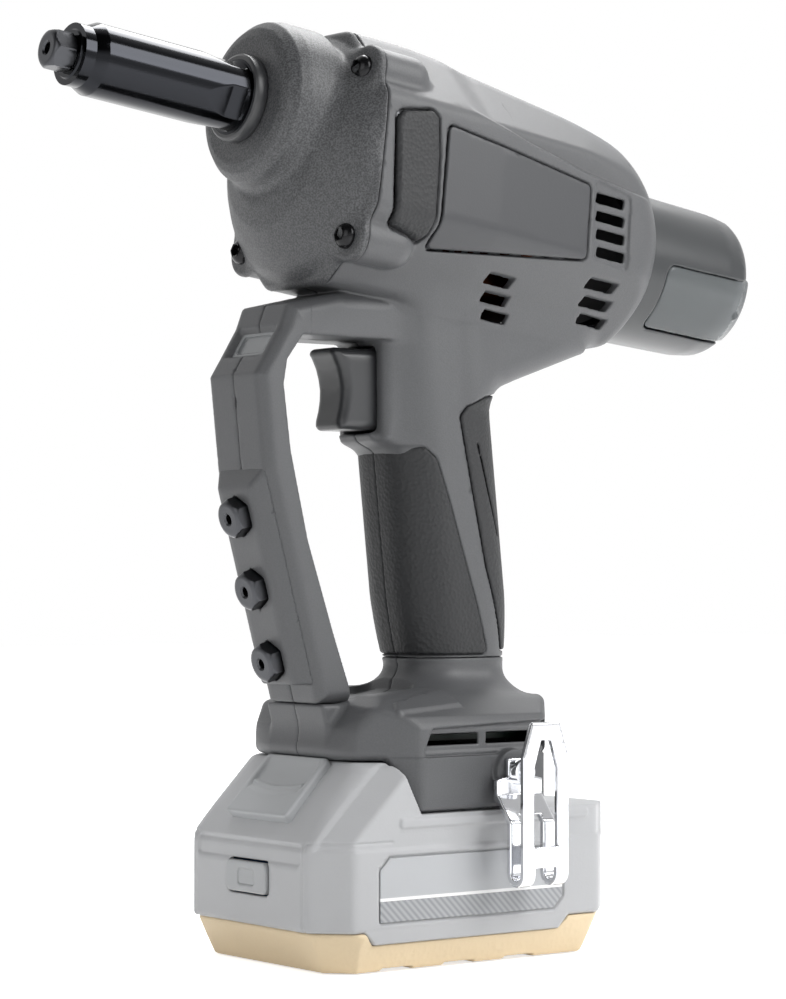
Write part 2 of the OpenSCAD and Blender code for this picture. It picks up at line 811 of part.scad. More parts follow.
module jaws() {
    jaw_gap = 0.7;
    r = jaw_seat_r - jaw_play;
    color("gray") on_barrel() difference() {
        turned([[jaw_bore, jaw_front + 1], [jaw_tip_r + jaw_play, jaw_front + 1], [r, jaw_seat_u],
            [r, jaw_seat_u + 1], [r - pusher_t, jaw_seat_u + 1], [jaw_bore, jaw_seat_u - 2]]);
        for (a = [0, 120, 240]) rotate([a, 0, 0])
            translate([jaw_front, -jaw_gap / 2, 0]) cube([30, jaw_gap, 10]);
    }
}

module jaw_pusher() {
    r = jaw_seat_r - 2 * jaw_play;
    tip = r - pusher_t - 2 * jaw_play;
    back = jaw_seat_u + 1 + pusher_t;
    stem = spring_r - spring_wire_r - 0.6;
    color("silver") on_barrel() difference() {
        turned([[0, jaw_seat_u - 0.2], [tip - 0.6, jaw_seat_u - 0.2], [tip, jaw_seat_u + 1.05],
            [r, jaw_seat_u + 1.3], [r, back], [stem, back], [stem, back + 5], [0, back + 5]]);
        rod(jaw_bore + 0.2, jaw_front, jaw_back);
    }
}

module jaw_spring() {
    start = jaw_seat_u + 1 + pusher_t + jaw_play;
    room = jaw_back - jaw_wall - jaw_play - start;
    color("lightgray") on_barrel() translate([start, 0, 0])
        coil_spring(spring_r, spring_wire_r, room, round(room / spring_pitch));
}

// Hollow screw that pulls the jaws back, with its anti-turn lug
module pull_screw() {
    lug_l = 7;
    color("silver") on_barrel() difference() {
        union() {
            rod(screw_r, jaw_back, screw_end);
            translate([screw_end - lug_l, -rail_half, 0]) cube([lug_l, 2 * rail_half, 12]);
        }
        rod(screw_bore, jaw_back - 1, screw_end + 1);
    }
}

module ball_nut() {
    color("slategray") on_barrel() difference() {
        rod(nut_r, nut_front + 0.1, nut_end);
        rod(screw_r + run_gap, nut_front - 1, nut_end + 1);
    }
}

module nut_gear() {
    color("goldenrod") on_barrel() difference() {
        gear(nut_teeth, gear_m, gear_play, gear_u, gear_end, 0);
        rod(nut_r + 0.02, gear_u - 1, gear_end + 1);
    }
}

module bearing(outer, inner, from, to, v) {
    groove = (outer - inner) * 0.3;
    mid = (outer + inner) / 2;
    difference() {
        tube(outer, inner, from, to, v);
        for (u = [from - 1, to - 0.6]) tube(mid + groove / 2, mid - groove / 2, u, u + 1.6, v);
    }
}

module front_bearing() {
    color("lightsteelblue") on_barrel()
        bearing(bearing_r, nut_r + run_gap, nut_front + 0.1, nut_front + front_bearing_w, 0);
}

module thrust_bearing() {
    color("lightsteelblue") on_barrel()
        bearing(bearing_r, nut_r + run_gap, thrust_u, thrust_u + thrust_w, 0);
}

// Cast case that carries the nut, the gears and the ring gear between the halves
module gear_case() {
    mesh_room = 0.7;
    nut_room = (nut_teeth / 2 + 1) * gear_m + mesh_room;
    pinion_room = (pinion_teeth / 2 + 1) * gear_m + mesh_room;
    color("darkgray") on_barrel() difference() {
        end_slab(barrel_section(wall + 0.15), seam_u + 0.02, case_end);
        rod(nut_room, seam_u - 1, gear_end + 0.6);
        rod(pinion_room, seam_u - 1, gear_end + 0.6, -axis_gap);
        rod(nut_r + 0.6, seam_u, thrust_u + 1);
        rod(bearing_r + 0.02, thrust_u - 0.02, case_end + 1);
        rod(orbit_r + 3.6, seam_u, planet_u, -axis_gap);
        rod(ring_gear_r + 0.02, ring_u - 0.02, ring_end + 0.02, -axis_gap);
        rod(small_bearing_r + 1.5, ring_end, case_end + 1, -axis_gap);
        cover_pillars(pillar_r + 0.2, 0, pillar_end + 0.2);
    }
}

// Pinion on the carrier's shaft, in mesh with the nut gear
module pinion() {
    color("goldenrod") on_barrel() difference() {
        union() {
            gear(pinion_teeth, gear_m, gear_play, gear_u, gear_end, -axis_gap, pinion_turn);
            rod(pinion_shaft_r, nut_front + 0.8, gear_u + eps, -axis_gap);
        }
        rod(1, nut_front, gear_end - 2, -axis_gap);
    }
}

module pinion_bush() {
    color("peru") on_barrel()
        tube(bush_r, pinion_shaft_r + run_gap, nut_front + 0.4, seam_u - 3, -axis_gap);
}

module planet_carrier() {
    color("slategray") on_barrel() union() {
        rod(orbit_r + 3, carrier_u, carrier_u + carrier_t, -axis_gap);
        rod(pinion_shaft_r, gear_end, carrier_u + eps, -axis_gap);
        for (a = [0, 120, 240]) translate([0, 0, -axis_gap]) rotate([a, 0, 0])
            rod(pin_r, carrier_u, planet_u + planet_w, -orbit_r);
    }
}

module planet(at) {
    color("goldenrod") on_barrel() translate([0, 0, -axis_gap]) rotate([at, 0, 0]) difference() {
        gear(planet_teeth, planet_m, planet_play, planet_u, planet_u + planet_w - 0.4, -orbit_r, planet_turn);
        rod(pin_r + run_gap, planet_u - 1, planet_u + planet_w + 1, -orbit_r);
    }
}

module planet_1() { planet(0); }
module planet_2() { planet(120); }
module planet_3() { planet(240); }

module ring_gear() {
    color("gray") on_barrel() difference() {
        rod(ring_gear_r, ring_u, ring_end, -axis_gap);
        translate([ring_u - 1, 0, -axis_gap]) rotate([0, 90, 0]) rotate([0, 0, ring_turn])
            linear_extrude(ring_end - ring_u + 2) gear_outline(ring_teeth, planet_m, -planet_play, 1.25, 0.9);
    }
}

// Rotor with the sun cut on its shaft's front end
module rotor() {
    color("darkslategray") on_barrel() {
        gear(sun_teeth, planet_m, planet_play, planet_u + 0.4, planet_u + planet_w, -axis_gap);
        rod(shaft_r, planet_u + planet_w - eps, shaft_end, -axis_gap);
        rod(rotor_r, stator_u + 2, stator_end - 2, -axis_gap);
    }
}

// Stator with slots for its windings
module stator() {
    slots = 6;
    color("brown") on_barrel() difference() {
        tube(motor_r, rotor_r + gap, stator_u, stator_end, -axis_gap);
        for (k = [0:slots - 1]) translate([0, 0, -axis_gap]) rotate([360 * k / slots, 0, 0])
            translate([stator_u - 1, -1.6, rotor_r - 1]) cube([stator_l + 2, 3.2, 4]);
    }
}

// End plate that holds the front bearing and joins motor to gear case
module motor_mount() {
    color("darkgray") on_barrel() difference() {
        union() {
            rod(motor_r, stator_u - motor_mount_t, stator_u, -axis_gap);
            rod(small_bearing_r + 1.4, ring_end + 0.1, stator_u - motor_mount_t + eps, -axis_gap);
        }
        rod(small_bearing_r, case_end, stator_u + 1, -axis_gap);
        rod(shaft_r + gap, ring_end - 1, case_end + 1, -axis_gap);
    }
}

module motor_bearings() {
    color("lightsteelblue") on_barrel() {
        bearing(small_bearing_r, shaft_r + run_gap, case_end + 0.1, case_end + 5, -axis_gap);
        bearing(small_bearing_r, shaft_r + run_gap, fan_u + fan_w + 1.2, fan_u + fan_w + 4.8, -axis_gap);
    }
}

module cooling_fan() {
    blades = 11;
    color("black") on_barrel() difference() {
        union() {
            rod(fan_r, fan_u, fan_u + 1.2, -axis_gap);
            rod(shaft_r + 2.5, fan_u, fan_u + fan_w, -axis_gap);
            for (k = [0:blades - 1]) translate([0, 0, -axis_gap]) rotate([360 * k / blades, 0, 0])
                translate([fan_u, -0.5, shaft_r + 2]) cube([fan_w, 1, fan_r - shaft_r - 2.6]);
        }
        rod(shaft_r + 0.02, fan_u - 1, fan_u + fan_w + 1, -axis_gap);
    }
}

// Channel that keeps the pull screw from turning
module anti_turn_rail() {
    side = rail_half + gap;
    color("silver") on_barrel() difference() {
        translate([case_end + 0.02, -side - 2.5, 8.6]) cube([rail_end - case_end, 2 * side + 5, 5]);
        translate([case_end - 1, -side, 8]) cube([rail_end - case_end + 2, 2 * side, 4.3]);
    }
}

module mandrel_guide() {
    color("lightgray") on_barrel() tube(guide_r, guide_bore, guide_front, bulkhead_u);
}

// Disc that closes the barrel's rear and holds the guide
module rear_bulkhead() {
    color("#303030") on_barrel() difference() {
        union() {
            rod(bulkhead_r, bulkhead_u, bulkhead_u + bulkhead_t, -collector_drop);
            tube(spigot_r, spigot_r - 2, bulkhead_u, rear_u + 5, -collector_drop);
            rod(guide_r + 2, bulkhead_u - 4, bulkhead_u + bulkhead_t);
        }
        rod(guide_r + 0.02, bulkhead_u - 5, bulkhead_u + 0.02);
        rod(guide_bore, bulkhead_u - 5, bulkhead_u + bulkhead_t + 1);
        // Chute that drops the broken stems into the bottle
        translate([bulkhead_u + 0.5, -chute_w, -chute_drop])
            cube([far, 2 * chute_w, chute_drop + guide_bore]);
    }
}

// Slots in the shroud that show the bottle, open at the rear
module windows(inner, outer) {
    start = 10;
    for (k = [0:window_count - 1]) rotate([360 * k / window_count, 0, 0])
        intersection() {
            tube(outer, inner, rear_u + start, collector_end + 5);
            side_slab([[rear_u, 0], [rear_u + 200, 0], [rear_u + 200, 60], [rear_u, 60]], window_half);
        }
}

// Radius of the collector at a place behind the nose ring
function collector_at(u) = collector_r - (collector_r - collector_end_r) * (u - rear_u) / collector_l;

module collector_shroud() {
    last = collector_end - 4;
    color("#3c3e40") on_barrel() translate([0, 0, -collector_drop]) difference() {
        turned([
            [collector_r - shroud_wall - 0.6, shroud_u], [collector_r, shroud_u], [collector_at(last), last],
            [collector_at(last) - shroud_wall, last], [collector_r - shroud_wall, shroud_u + 5],
            [collector_r - shroud_wall - 0.6, shroud_u + 5]
        ]);
        windows(collector_end_r - 6, collector_r + 5);
    }
}

// Clear bottle that catches the broken stems, with its rim showing behind the shroud
module collector_bottle() {
    outer = bottle_r;
    outer_end = collector_at(collector_end - 4) - shroud_wall - bottle_slip;
    rim_cut = 3.8;
    color("#dfe6ea", 0.4) on_barrel() translate([0, 0, -collector_drop]) difference() {
        turned([
            [0, bottle_u], [outer, bottle_u], [outer_end, collector_end - 4 + bottle_slip],
            [collector_end_r, collector_end - 4 + bottle_slip], [collector_end_r, collector_end - rim_cut],
            [collector_end_r - rim_cut, collector_end], [0, collector_end]
        ]);
        turned([
            [0, bottle_u - 1], [outer - bottle_wall, bottle_u - 1],
            [outer_end - bottle_wall, collector_end - 6],
            [outer_end - bottle_wall - 2, collector_end - 2], [0, collector_end - 2]
        ]);
    }
}

// Trigger with a hollowed finger face and the plunger into the switch
module trigger() {
    top = trigger_z + trigger_h;
    color("#2a2b2d") difference() {
        union() {
            side_slab([
                [trigger_front, top - 1], [trigger_front + 5.8, top - 6], [trigger_front + 6.2, top - 11],
                [trigger_front + 5.4, top - 16], [trigger_front + 4, trigger_z + 2.5],
                [trigger_front + 4.9, trigger_z],
                [trigger_back, trigger_z],
                [trigger_back, top], [trigger_front + 2, top]
            ], trigger_w);
            translate([trigger_back - eps, 0, trigger_z + trigger_h / 2]) rotate([0, 90, 0])
                cylinder(r = plunger_r, h = switch_front - trigger_back + 2);
        }
        for (s = [-1, 1])
            edge_cut([trigger_front + 5, top], [trigger_front + 5, trigger_z], s * trigger_w, 2.5);
    }
}

module trigger_switch() {
    color("#222222") difference() {
        translate([switch_front, -switch_w, switch_low]) cube([switch_l, 2 * switch_w, switch_h]);
        translate([switch_front - 1, 0, trigger_z + trigger_h / 2]) rotate([0, 90, 0])
            cylinder(r = plunger_r + run_gap, h = trigger_travel + 5);
        for (x = [4, 12]) translate([switch_front + x, -switch_w - 1, switch_low + 5])
            cube([4, 1.6, switch_h - 10]);
    }
}

// The lamp's frame: +X out of the guard's sloping shoulder
module lens_place() {
    translate([lens_mid[0], 0, lens_mid[1]]) rotate([0, -lens_lean, 0]) mirror([1, 0, 0]) children();
}

module lamp_lens() {
    color("white", 0.5) lens_place() difference() {
        translate([-2, 0, 0]) cube([3.4, lens_w, lens_l], center = true);
        for (s = [-1, 1]) translate([0.2, s * 4.2, 0]) rotate([0, 90, 0])
            cylinder(r = 2.6, h = 4, center = true);
    }
}

// The guard's front face as a line
function guard_face(z) = guard_front[5][0] + (guard_front[5][1] - z) * tan(guard_lean);

// Frames on the guard's front face, +X going into the guard
module spare_places() {
    for (z = spare_z) translate([guard_face(z), 0, z]) rotate([0, -guard_lean, 0]) children();
}

module guard_pad() {
    color("dimgray") difference() {
        side_slab([
            pad_top + [-0.02, 0], [guard_face(pad_top[1] - 5) - pad_t, pad_top[1] - 5],
            [guard_face(pad_low) - pad_t, pad_low], [guard_face(pad_low - 1) - 0.02, pad_low - 1]
        ], pad_w);
        spare_places() rod(nozzle_af / 2 / cos(30) + gap, -9, 5);
    }
}

module spare_nozzles() {
    bores = [nozzle_bore - 0.4, nozzle_bore + 0.3, nozzle_bore + 0.7];
    color("#3a3b3e") for (k = [0:len(spare_z) - 1])
        translate([guard_face(spare_z[k]), 0, spare_z[k]]) rotate([0, -guard_lean, 0])
            translate([-spare_front_gap, 0, 0]) nozzle_shape(bores[k], shank_l);
}

// Rubber over the grip's front and sides, as one half
module grip_rubber(side) {
    color("#202122") intersection() {
        difference() {
            grip_shape(rubber, -4, 70);
            grip_shape(0.02, -5, 80);
        }
        side_slab([[-30, grip_z + 0.3], [grip_x + 5.4, grip_z + 0.3], [13, 111], [6.2, 131],
            [-1, cheek_low - 0.2], [-30, cheek_low - 0.2]], grip_w);
        half_space(side);
    }
}

module grip_rubber_left() { grip_rubber(-1); }
module grip_rubber_right() { grip_rubber(1); }

// Rubber strip down the grip's back
module rear_rubber() {
    color("#202122") intersection() {
        difference() {
            grip_shape(rubber, 4, 68);
            grip_shape(0.02, -1, 80);
            neck_shape(-0.02);
        }
        side_slab([[grip_x + 13, 88], [19.7, 112], [14.8, 134], [12, 147], [16, 152], [60, 152], [60, 86]],
            grip_w);
    }
}

module side_pads() {
    proud = 1;
    color("#202122") on_barrel() for (s = [-1, 1]) intersection() {
        translate([0, s * body_w, 0]) pad_block(0, 1.2);
        translate([0, s > 0 ? body_w - 1.2 : -body_w - proud, -60]) cube([far, 1.2 + proud, 100]);
    }
}

// Plain badge plates let into both sides
module side_badges() {
    color("#5a5c5e") on_barrel() for (s = [-1, 1]) intersection() {
        translate([0, s * body_w, 0]) badge_block(0, 9);
        side_skin(s, badge_t, badge_proud);
    }
}

// A screw from the right side that joins the halves
module half_screw(x, z) {
    cross_rod(half_screw_r, x, z, -half_screw_l / 2, half_screw_l / 2 + eps);
    difference() {
        cross_rod(half_head_r, x, z, half_screw_l / 2, half_screw_l / 2 + 2.2);
        translate([x, half_screw_l / 2 + 1, z]) rotate([-90, 0, 0]) cylinder(r = 1.4, h = 3, $fn = 6);
    }
}

module half_screws() {
    color("#1c1c1e") {
        on_barrel() for (s = body_screws) half_screw(s[0], s[1]);
        for (s = concat(grip_screws, foot_screws)) half_screw(s[0], s[1]);
    }
}

// Foot outline seen from above, drawn i inside
function foot_plan(i) = [
    [foot_front + i, 14], [foot_front + 4.5 + i, 25 - i], [skirt_front, foot_w - i],
    [foot_rear - 9, foot_w - i],
    [foot_rear - i, 24 - i], [foot_rear - i, i - 24], [foot_rear - 9, i - foot_w], [skirt_front, i - foot_w],
    [foot_front + 4.5 + i, i - 25], [foot_front + i, -14]
];

// Foot between the grip, the guard and the battery
module foot_solid() {
    difference() {
        union() {
            intersection() {
                side_slab([
                    guard_front[6] - [0, 0.02], [foot_front + 5, foot_z], [foot_rear, foot_z],
                    [foot_rear, 68],
                    [foot_rear - 6, 74], [grip_x + grip_d / 2 + 0.5, grip_z - 0.02],
                    [grip_x - grip_d / 2 - 0.5, grip_z - 0.02],
                    [grip_x - 20.5, foot_top], guard_back[0] + [1.5, foot_top - guard_back[0][1]],
                    guard_back[0] - [0, 0.02]
                ], foot_w);
                linear_extrude(far) polygon(foot_plan(0));
                end_slab([[foot_w, 40], [foot_w, foot_side_top], [foot_w - 5, foot_shoulder],
                    [grip_w / 2, grip_z + 2], [-grip_w / 2, grip_z + 2], [5 - foot_w, foot_shoulder],
                    [-foot_w, foot_side_top], [-foot_w, 40]], -far, far);
            }
            for (s = [-1, 1]) {
                translate([skirt_front, s > 0 ? foot_w - skirt_t : -foot_w, skirt_z])
                    cube([foot_rear - 9 - skirt_front, skirt_t, foot_z - skirt_z + 1]);
                translate([skirt_front, s > 0 ? foot_w - skirt_t - rail_in : -foot_w, rail_low])
                    cube([foot_rear - 9 - skirt_front, skirt_t + rail_in, rail_high - rail_low]);
                // Raised pad that the belt hook stands on
                translate([hook_x - hook_pad[0] / 2, s > 0 ? foot_w - 1 : -hook_y,
                    hook_hole_z - hook_pad[1] / 2])
                    cube([hook_pad[0], hook_y - foot_w + 1, hook_pad[1]]);
            }
        }
        // Room for the board
        difference() {
            translate([board_front - 2, -foot_w + 6, foot_z + foot_wall])
                cube([board_l + 4, 2 * foot_w - 12, 8.5]);
            translate([grip_x - 6, -foot_w, foot_z]) cube([2, 2 * foot_w, board_z - foot_z]);
        }
        intersection() {
            grip_shape(-wall, -25, 3);
            translate([-far / 2, -far / 2, foot_z + foot_wall]) cube(far);
        }
        // Seat of the terminal block
        translate([blade_x - 6.1, -block_w / 2 - 0.1, foot_z - 1])
            cube([block_l + 0.2, block_w + 0.2, board_z + 1.05 - foot_z]);
        // Vent slots in the sides
        for (s = [-1, 1], x = [skirt_front + 3, skirt_front + 24])
            translate([x, s * foot_w - 8, slot_z]) cube([slot_l, 16, slot_h]);
        for (s = foot_screws) half_screw_hole(s[0], s[1], foot_w);
        // Threaded holes for the belt hook, one on each side
        for (s = [-1, 1]) cross_rod(hook_screw_r + 0.02, hook_x - 1, hook_hole_z,
            s > 0 ? hook_blind : -hook_y - 1, s > 0 ? hook_y + 1 : -hook_blind);
    }
}

module foot_left() {
    color("dimgray") intersection() { foot_solid(); half_space(-1); }
}

module foot_right() {
    color("dimgray") intersection() { foot_solid(); half_space(1); }
}

module control_board() {
    color("seagreen") {
        translate([board_front, -board_w / 2, board_z]) cube([board_l, board_w, board_t]);
        for (k = [0:2]) translate([board_front + 6 + 10 * k, -12, board_z + board_t - eps]) cube([7, 10, 3]);
    }
}

module terminal_block() {
    color("#8a6a30") {
        translate([blade_x - 6, -block_w / 2, foot_z]) cube([block_l, block_w, board_z - foot_z]);
        for (y = blade_y) translate([blade_x - 3, y - blade_t / 2, foot_z - blade_h])
            cube([blade_l, blade_t, blade_h + eps]);
    }
}

// Bright strip hook on the left side, with a long slot in its outer leaf
module belt_hook() {
    x0 = hook_x - hook_w / 2;
    y0 = -hook_y - 0.02;
    low = hook_low;
    high = hook_high;
    bend = hook_gap / 2 + hook_t;
    color("lightgray") difference() {
        union() {
            translate([x0, y0 - hook_t, low + bend])
                cube([hook_w, hook_t, hook_hole_z + 6 - low - bend]);
            translate([x0, y0 - hook_t - hook_gap - hook_t, low + bend])
                cube([hook_w, hook_t, high - low - bend]);
            intersection() {
                translate([x0, y0 - bend, low + bend]) rotate([0, 90, 0]) difference() {
                    cylinder(r = bend, h = hook_w);
                    translate([0, 0, -1]) cylinder(r = bend - hook_t, h = hook_w + 2);
                }
                translate([x0 - 1, y0 - 3 * bend, low - 1]) cube([hook_w + 2, 6 * bend, bend + 1]);
            }
        }
        cross_rod(hook_screw_r + 0.1, hook_x - 1, hook_hole_z, y0 - hook_t - 1, y0 + 1);
        translate([x0 + 4.5, y0 - 2 * hook_t - hook_gap - 1, low + bend + 7])
            cube([hook_w - 9, hook_t + 2, high - low - bend - 13]);
        for (s = [0, 1]) translate([x0 + s * hook_w, y0 - 30, high]) rotate([0, 45, 0])
            cube([5, 40, 5], center = true);
    }
}

module hook_screw() {
    y0 = -hook_y - 0.04 - hook_t;
    color("#c8c8c8") difference() {
        union() {
            cross_rod(hook_screw_r, hook_x - 1, hook_hole_z, y0, -hook_blind - 0.2);
            cross_rod(hook_head_r, hook_x - 1, hook_hole_z, y0 - hook_head_h, y0);
        }
        for (a = [0, 90]) translate([hook_x - 1, y0 - hook_head_h, hook_hole_z]) rotate([0, a, 0])
            cube([4.4, 2.4, 0.9], center = true);
    }
}

// Battery outline seen from above, drawn i inside
function battery_plan(i) =
    let (x = battery_rear - i, y = battery_w / 2 - i, c = battery_cut - 0.586 * i)
    [[x - c, y], [x, y - c], [x, c - y], [x - c, -y], [c - x, -y], [-x, c - y], [-x, y - c], [c - x, y]];

// Battery outline seen from the left, drawn i inside
function battery_side(i) =
    let (x = battery_rear - i)
    [[-x, -1], [-x, slope_low - i / 2], [slope_knee[0] - x, slope_knee[1] - i],
    [slope_top - x, battery_top - i],
     [x - 8, battery_top - i], [x, skirt_z - i], [x, -1]];

// The frame of the battery's sloping front: +X out of the slope, +Z up along it
slope_lean = atan2(slope_top - slope_knee[0], battery_top - slope_knee[1]);
module on_slope() {
    mid_x = -battery_rear + (slope_knee[0] + slope_top) / 2;
    mid_z = (slope_knee[1] + battery_top) / 2;
    translate([mid_x, 0, mid_z]) rotate([0, slope_lean, 0]) mirror([1, 0, 0]) children();
}

module battery_case() {
    color("#b4b6b8") difference() {
        intersection() {
            side_slab(battery_side(0), battery_w);
            translate([0, 0, tray_h + 0.02]) linear_extrude(far) polygon(battery_plan(0));
        }
        // Room for the cells and the board
        intersection() {
            side_slab(battery_side(battery_wall), battery_w);
            linear_extrude(battery_top - battery_wall) polygon(battery_plan(battery_wall));
            translate([-far / 2, -neck_w + battery_wall + 4, 0])
                cube([far, 2 * (neck_w - battery_wall - 4), far]);
        }
        intersection() {
            linear_extrude(skirt_z - 0.4 - battery_wall) polygon(battery_plan(battery_wall));
            side_slab(battery_side(battery_wall), battery_w);
        }
        // Steps that pass the foot's skirts, and grooves for its rails
        for (s = [-1, 1]) {
            translate([skirt_front - 0.6, s > 0 ? neck_w : -far - neck_w, skirt_z - 0.4])
                cube([far, far, far]);
            translate([skirt_front - 0.6, s > 0 ? neck_w - rail_in - 0.1 : -neck_w - eps, rail_low - 0.4])
                cube([far, rail_in + 0.1 + eps, rail_high - rail_low + 0.8]);
        }
        // Slots for the terminal blades, open at the rear
        for (y = blade_y) translate([blade_x - 3.6, y - 1, foot_z - blade_h - 0.6]) cube([far, 2, far]);
        // Seats of the latch, the gauge and the side plates
        on_slope() translate([-latch_deep - 0.2, -latch_w - gap, latch_low - latch_travel - gap])
            cube([far, 2 * (latch_w + gap), latch_h + latch_travel + 2 * gap]);
        translate([-battery_rear - 1, -gauge_w / 2 - 0.2, gauge_z - gauge_h / 2 - 0.2])
            cube([1 + gauge_travel + gauge_t + 0.2, gauge_w + 0.4, gauge_h + 0.4]);
        for (s = [-1, 1]) translate([0, s * battery_w / 2, 0]) plate_block(0.05);
    }
}

module plate_block(grow) {
    translate([plate_x - grow, -plate_t, plate_z - grow])
        cube([plate_l + 2 * grow, 2 * plate_t, plate_h + 2 * grow]);
}

module battery_plates() {
    color("#d2d4d6") for (s = [-1, 1]) intersection() {
        translate([0, s * battery_w / 2, 0]) plate_block(0);
        cube([far, battery_w - 0.1, far], center = true);
    }
}

// Four pads that the battery stands on, flush with the tray's underside
module stand_pads(grow) {
    for (x = [-1, 1], y = [-1, 1])
        translate([x * (battery_rear - stand_pad_in) - stand_pad_l / 2 - grow,
            y * (battery_w / 2 - stand_pad_in) - stand_pad_w / 2 - grow, -grow])
            cube([stand_pad_l + 2 * grow, stand_pad_w + 2 * grow, stand_pad_t + 2 * grow]);
}

// Base tray with chamfered lower edges and its stand pads
module battery_tray() {
    lean = 5;
    rise = 9;
    y = battery_w / 2;
    color("#dcc7a0") stand_pads(0);
    color("#dcc7a0") difference() {
        intersection() {
            linear_extrude(tray_h) polygon(battery_plan(0));
            side_slab([[-battery_rear, far], [-battery_rear, rise], [lean - battery_rear, 0],
                [battery_rear - lean, 0], [battery_rear, rise], [battery_rear, far]], battery_w);
            end_slab([[-y, far], [-y, rise], [lean - y, 0], [y - lean, 0], [y, rise], [y, far]], -far, far);
        }
        translate([0, 0, cell_rows[0] - cell_r - 0.3]) linear_extrude(far) polygon(battery_plan(4.2));
        translate([0, 0, rise - 2]) linear_extrude(far) polygon(battery_plan(2.6));
        stand_pads(0.02);
    }
}

module battery_latch() {
    ridges = 5;
    ridge_pitch = 3.6;
    color("#8e9092") on_slope() {
        translate([-latch_deep, -latch_w, latch_low]) cube([latch_t, 2 * latch_w, latch_h]);
        for (k = [0:ridges - 1])
            translate([latch_t - latch_deep - 0.4, -latch_w + 2, latch_low + 3 + ridge_pitch * k])
                cube([1.2, 2 * latch_w - 4, 1.4]);
    }
}

module gauge_button() {
    color("#55585c") translate([-battery_rear - gauge_proud, -gauge_w / 2, gauge_z - gauge_h / 2])
        cube([gauge_t, gauge_w, gauge_h]);
}

module battery_cells() {
    color("steelblue") for (z = cell_rows, k = [0:cell_columns - 1])
        cross_rod(cell_r, (k - (cell_columns - 1) / 2) * cell_pitch, z, -cell_l / 2, cell_l / 2);
}

module cell_holders() {
    low = cell_rows[0] - cell_r + holder_open;
    high = cell_rows[1] + cell_r - holder_open;
    half = (cell_columns - 1) / 2 * cell_pitch + cell_r + 0.6;
    color("ivory") for (s = [-1, 1]) difference() {
        translate([-half, s > 0 ? cell_l / 2 - holder_t - 3 : 3 - cell_l / 2, low])
            cube([2 * half, holder_t, high - low]);
        for (z = cell_rows, k = [0:cell_columns - 1])
            cross_rod(cell_r + 0.05, (k - (cell_columns - 1) / 2) * cell_pitch, z, -cell_l, cell_l);
    }
}

module battery_board() {
    low = cell_rows[1] + cell_r + 0.3;
    color("seagreen") union() {
        translate([pack_board_front, -pack_board_y, low]) cube([pack_board_l, 2 * pack_board_y, board_t]);
        for (y = blade_y) for (s = [-1, 1])
            translate([blade_x - 1, y + s * 1.4 - blade_t / 2, low + board_t - eps])
                cube([blade_l, blade_t, blade_h]);
    }
}

housing_left();
housing_right();
trigger_guard();
foot_left();
foot_right();
front_cover();
cover_screws();
nose_ring();
nose_sleeve();
nozzle();
jaw_case();
jaws();
jaw_pusher();
jaw_spring();
pull_screw();
ball_nut();
nut_gear();
front_bearing();
thrust_bearing();
gear_case();
pinion();
pinion_bush();
planet_carrier();
planet_1();
planet_2();
planet_3();
ring_gear();
rotor();
stator();
motor_mount();
motor_bearings();
cooling_fan();
anti_turn_rail();
mandrel_guide();
rear_bulkhead();
collector_shroud();
collector_bottle();
trigger();
trigger_switch();
lamp_lens();
guard_pad();
spare_nozzles();
grip_rubber_left();
grip_rubber_right();
rear_rubber();
side_pads();
side_badges();
half_screws();
control_board();
terminal_block();
belt_hook();
hook_screw();
battery_case();
battery_tray();
battery_latch();
gauge_button();
battery_cells();
cell_holders();
battery_board();
battery_plates();
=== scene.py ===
"""Looks of a battery rivet tool: moulded shells, rubber, dark steel, clear plastic and a pale battery."""

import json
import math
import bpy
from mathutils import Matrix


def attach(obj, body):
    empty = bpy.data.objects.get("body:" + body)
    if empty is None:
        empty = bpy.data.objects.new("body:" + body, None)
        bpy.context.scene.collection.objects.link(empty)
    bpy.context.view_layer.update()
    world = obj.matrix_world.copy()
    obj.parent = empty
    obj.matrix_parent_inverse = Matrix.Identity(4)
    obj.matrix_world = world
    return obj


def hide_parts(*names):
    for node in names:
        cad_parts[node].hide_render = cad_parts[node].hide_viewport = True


bl_info = {
    "name": "Battery Rivet Tool",
    "version": (1, 0, 0),
    "blender": (4, 5, 0),
    "location": "View3D > Sidebar > Rivet Tool",
    "description": "Builds the shells, rubber, metal and clear pieces of a battery rivet tool",
    "category": "Add Mesh",
}

import bpy
import numpy as np
import openvdb
from bpy.props import FloatProperty, FloatVectorProperty, PointerProperty
from mathutils import Euler, Matrix, Vector

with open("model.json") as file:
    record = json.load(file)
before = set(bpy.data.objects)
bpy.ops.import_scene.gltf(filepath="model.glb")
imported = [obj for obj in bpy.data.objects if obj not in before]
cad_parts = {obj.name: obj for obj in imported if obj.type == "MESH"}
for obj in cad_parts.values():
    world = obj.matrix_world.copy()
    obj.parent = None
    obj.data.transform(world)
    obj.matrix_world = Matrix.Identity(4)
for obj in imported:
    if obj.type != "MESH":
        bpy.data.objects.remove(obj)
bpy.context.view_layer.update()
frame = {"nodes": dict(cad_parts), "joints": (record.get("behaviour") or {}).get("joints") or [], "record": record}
MM = 0.001

# The barrel's own frame: U runs back along the pull axis from the nose ring's face, V rises from it
PULL = next(joint for joint in frame["joints"] if joint["name"] == "nut_spin")
NUT_PLACE = 40.0
U_AXIS = Vector(PULL["axis"]).normalized()
V_AXIS = Vector((-U_AXIS.z, 0.0, U_AXIS.x))
BARREL_ZERO = Vector(PULL["pos_m"]) / MM - NUT_PLACE * U_AXIS
BARREL = Matrix((
    (U_AXIS.x, 0.0, V_AXIS.x, BARREL_ZERO.x),
    (0.0, 1.0, 0.0, 0.0),
    (U_AXIS.z, 0.0, V_AXIS.z, BARREL_ZERO.z),
    (0.0, 0.0, 0.0, 1.0),
))

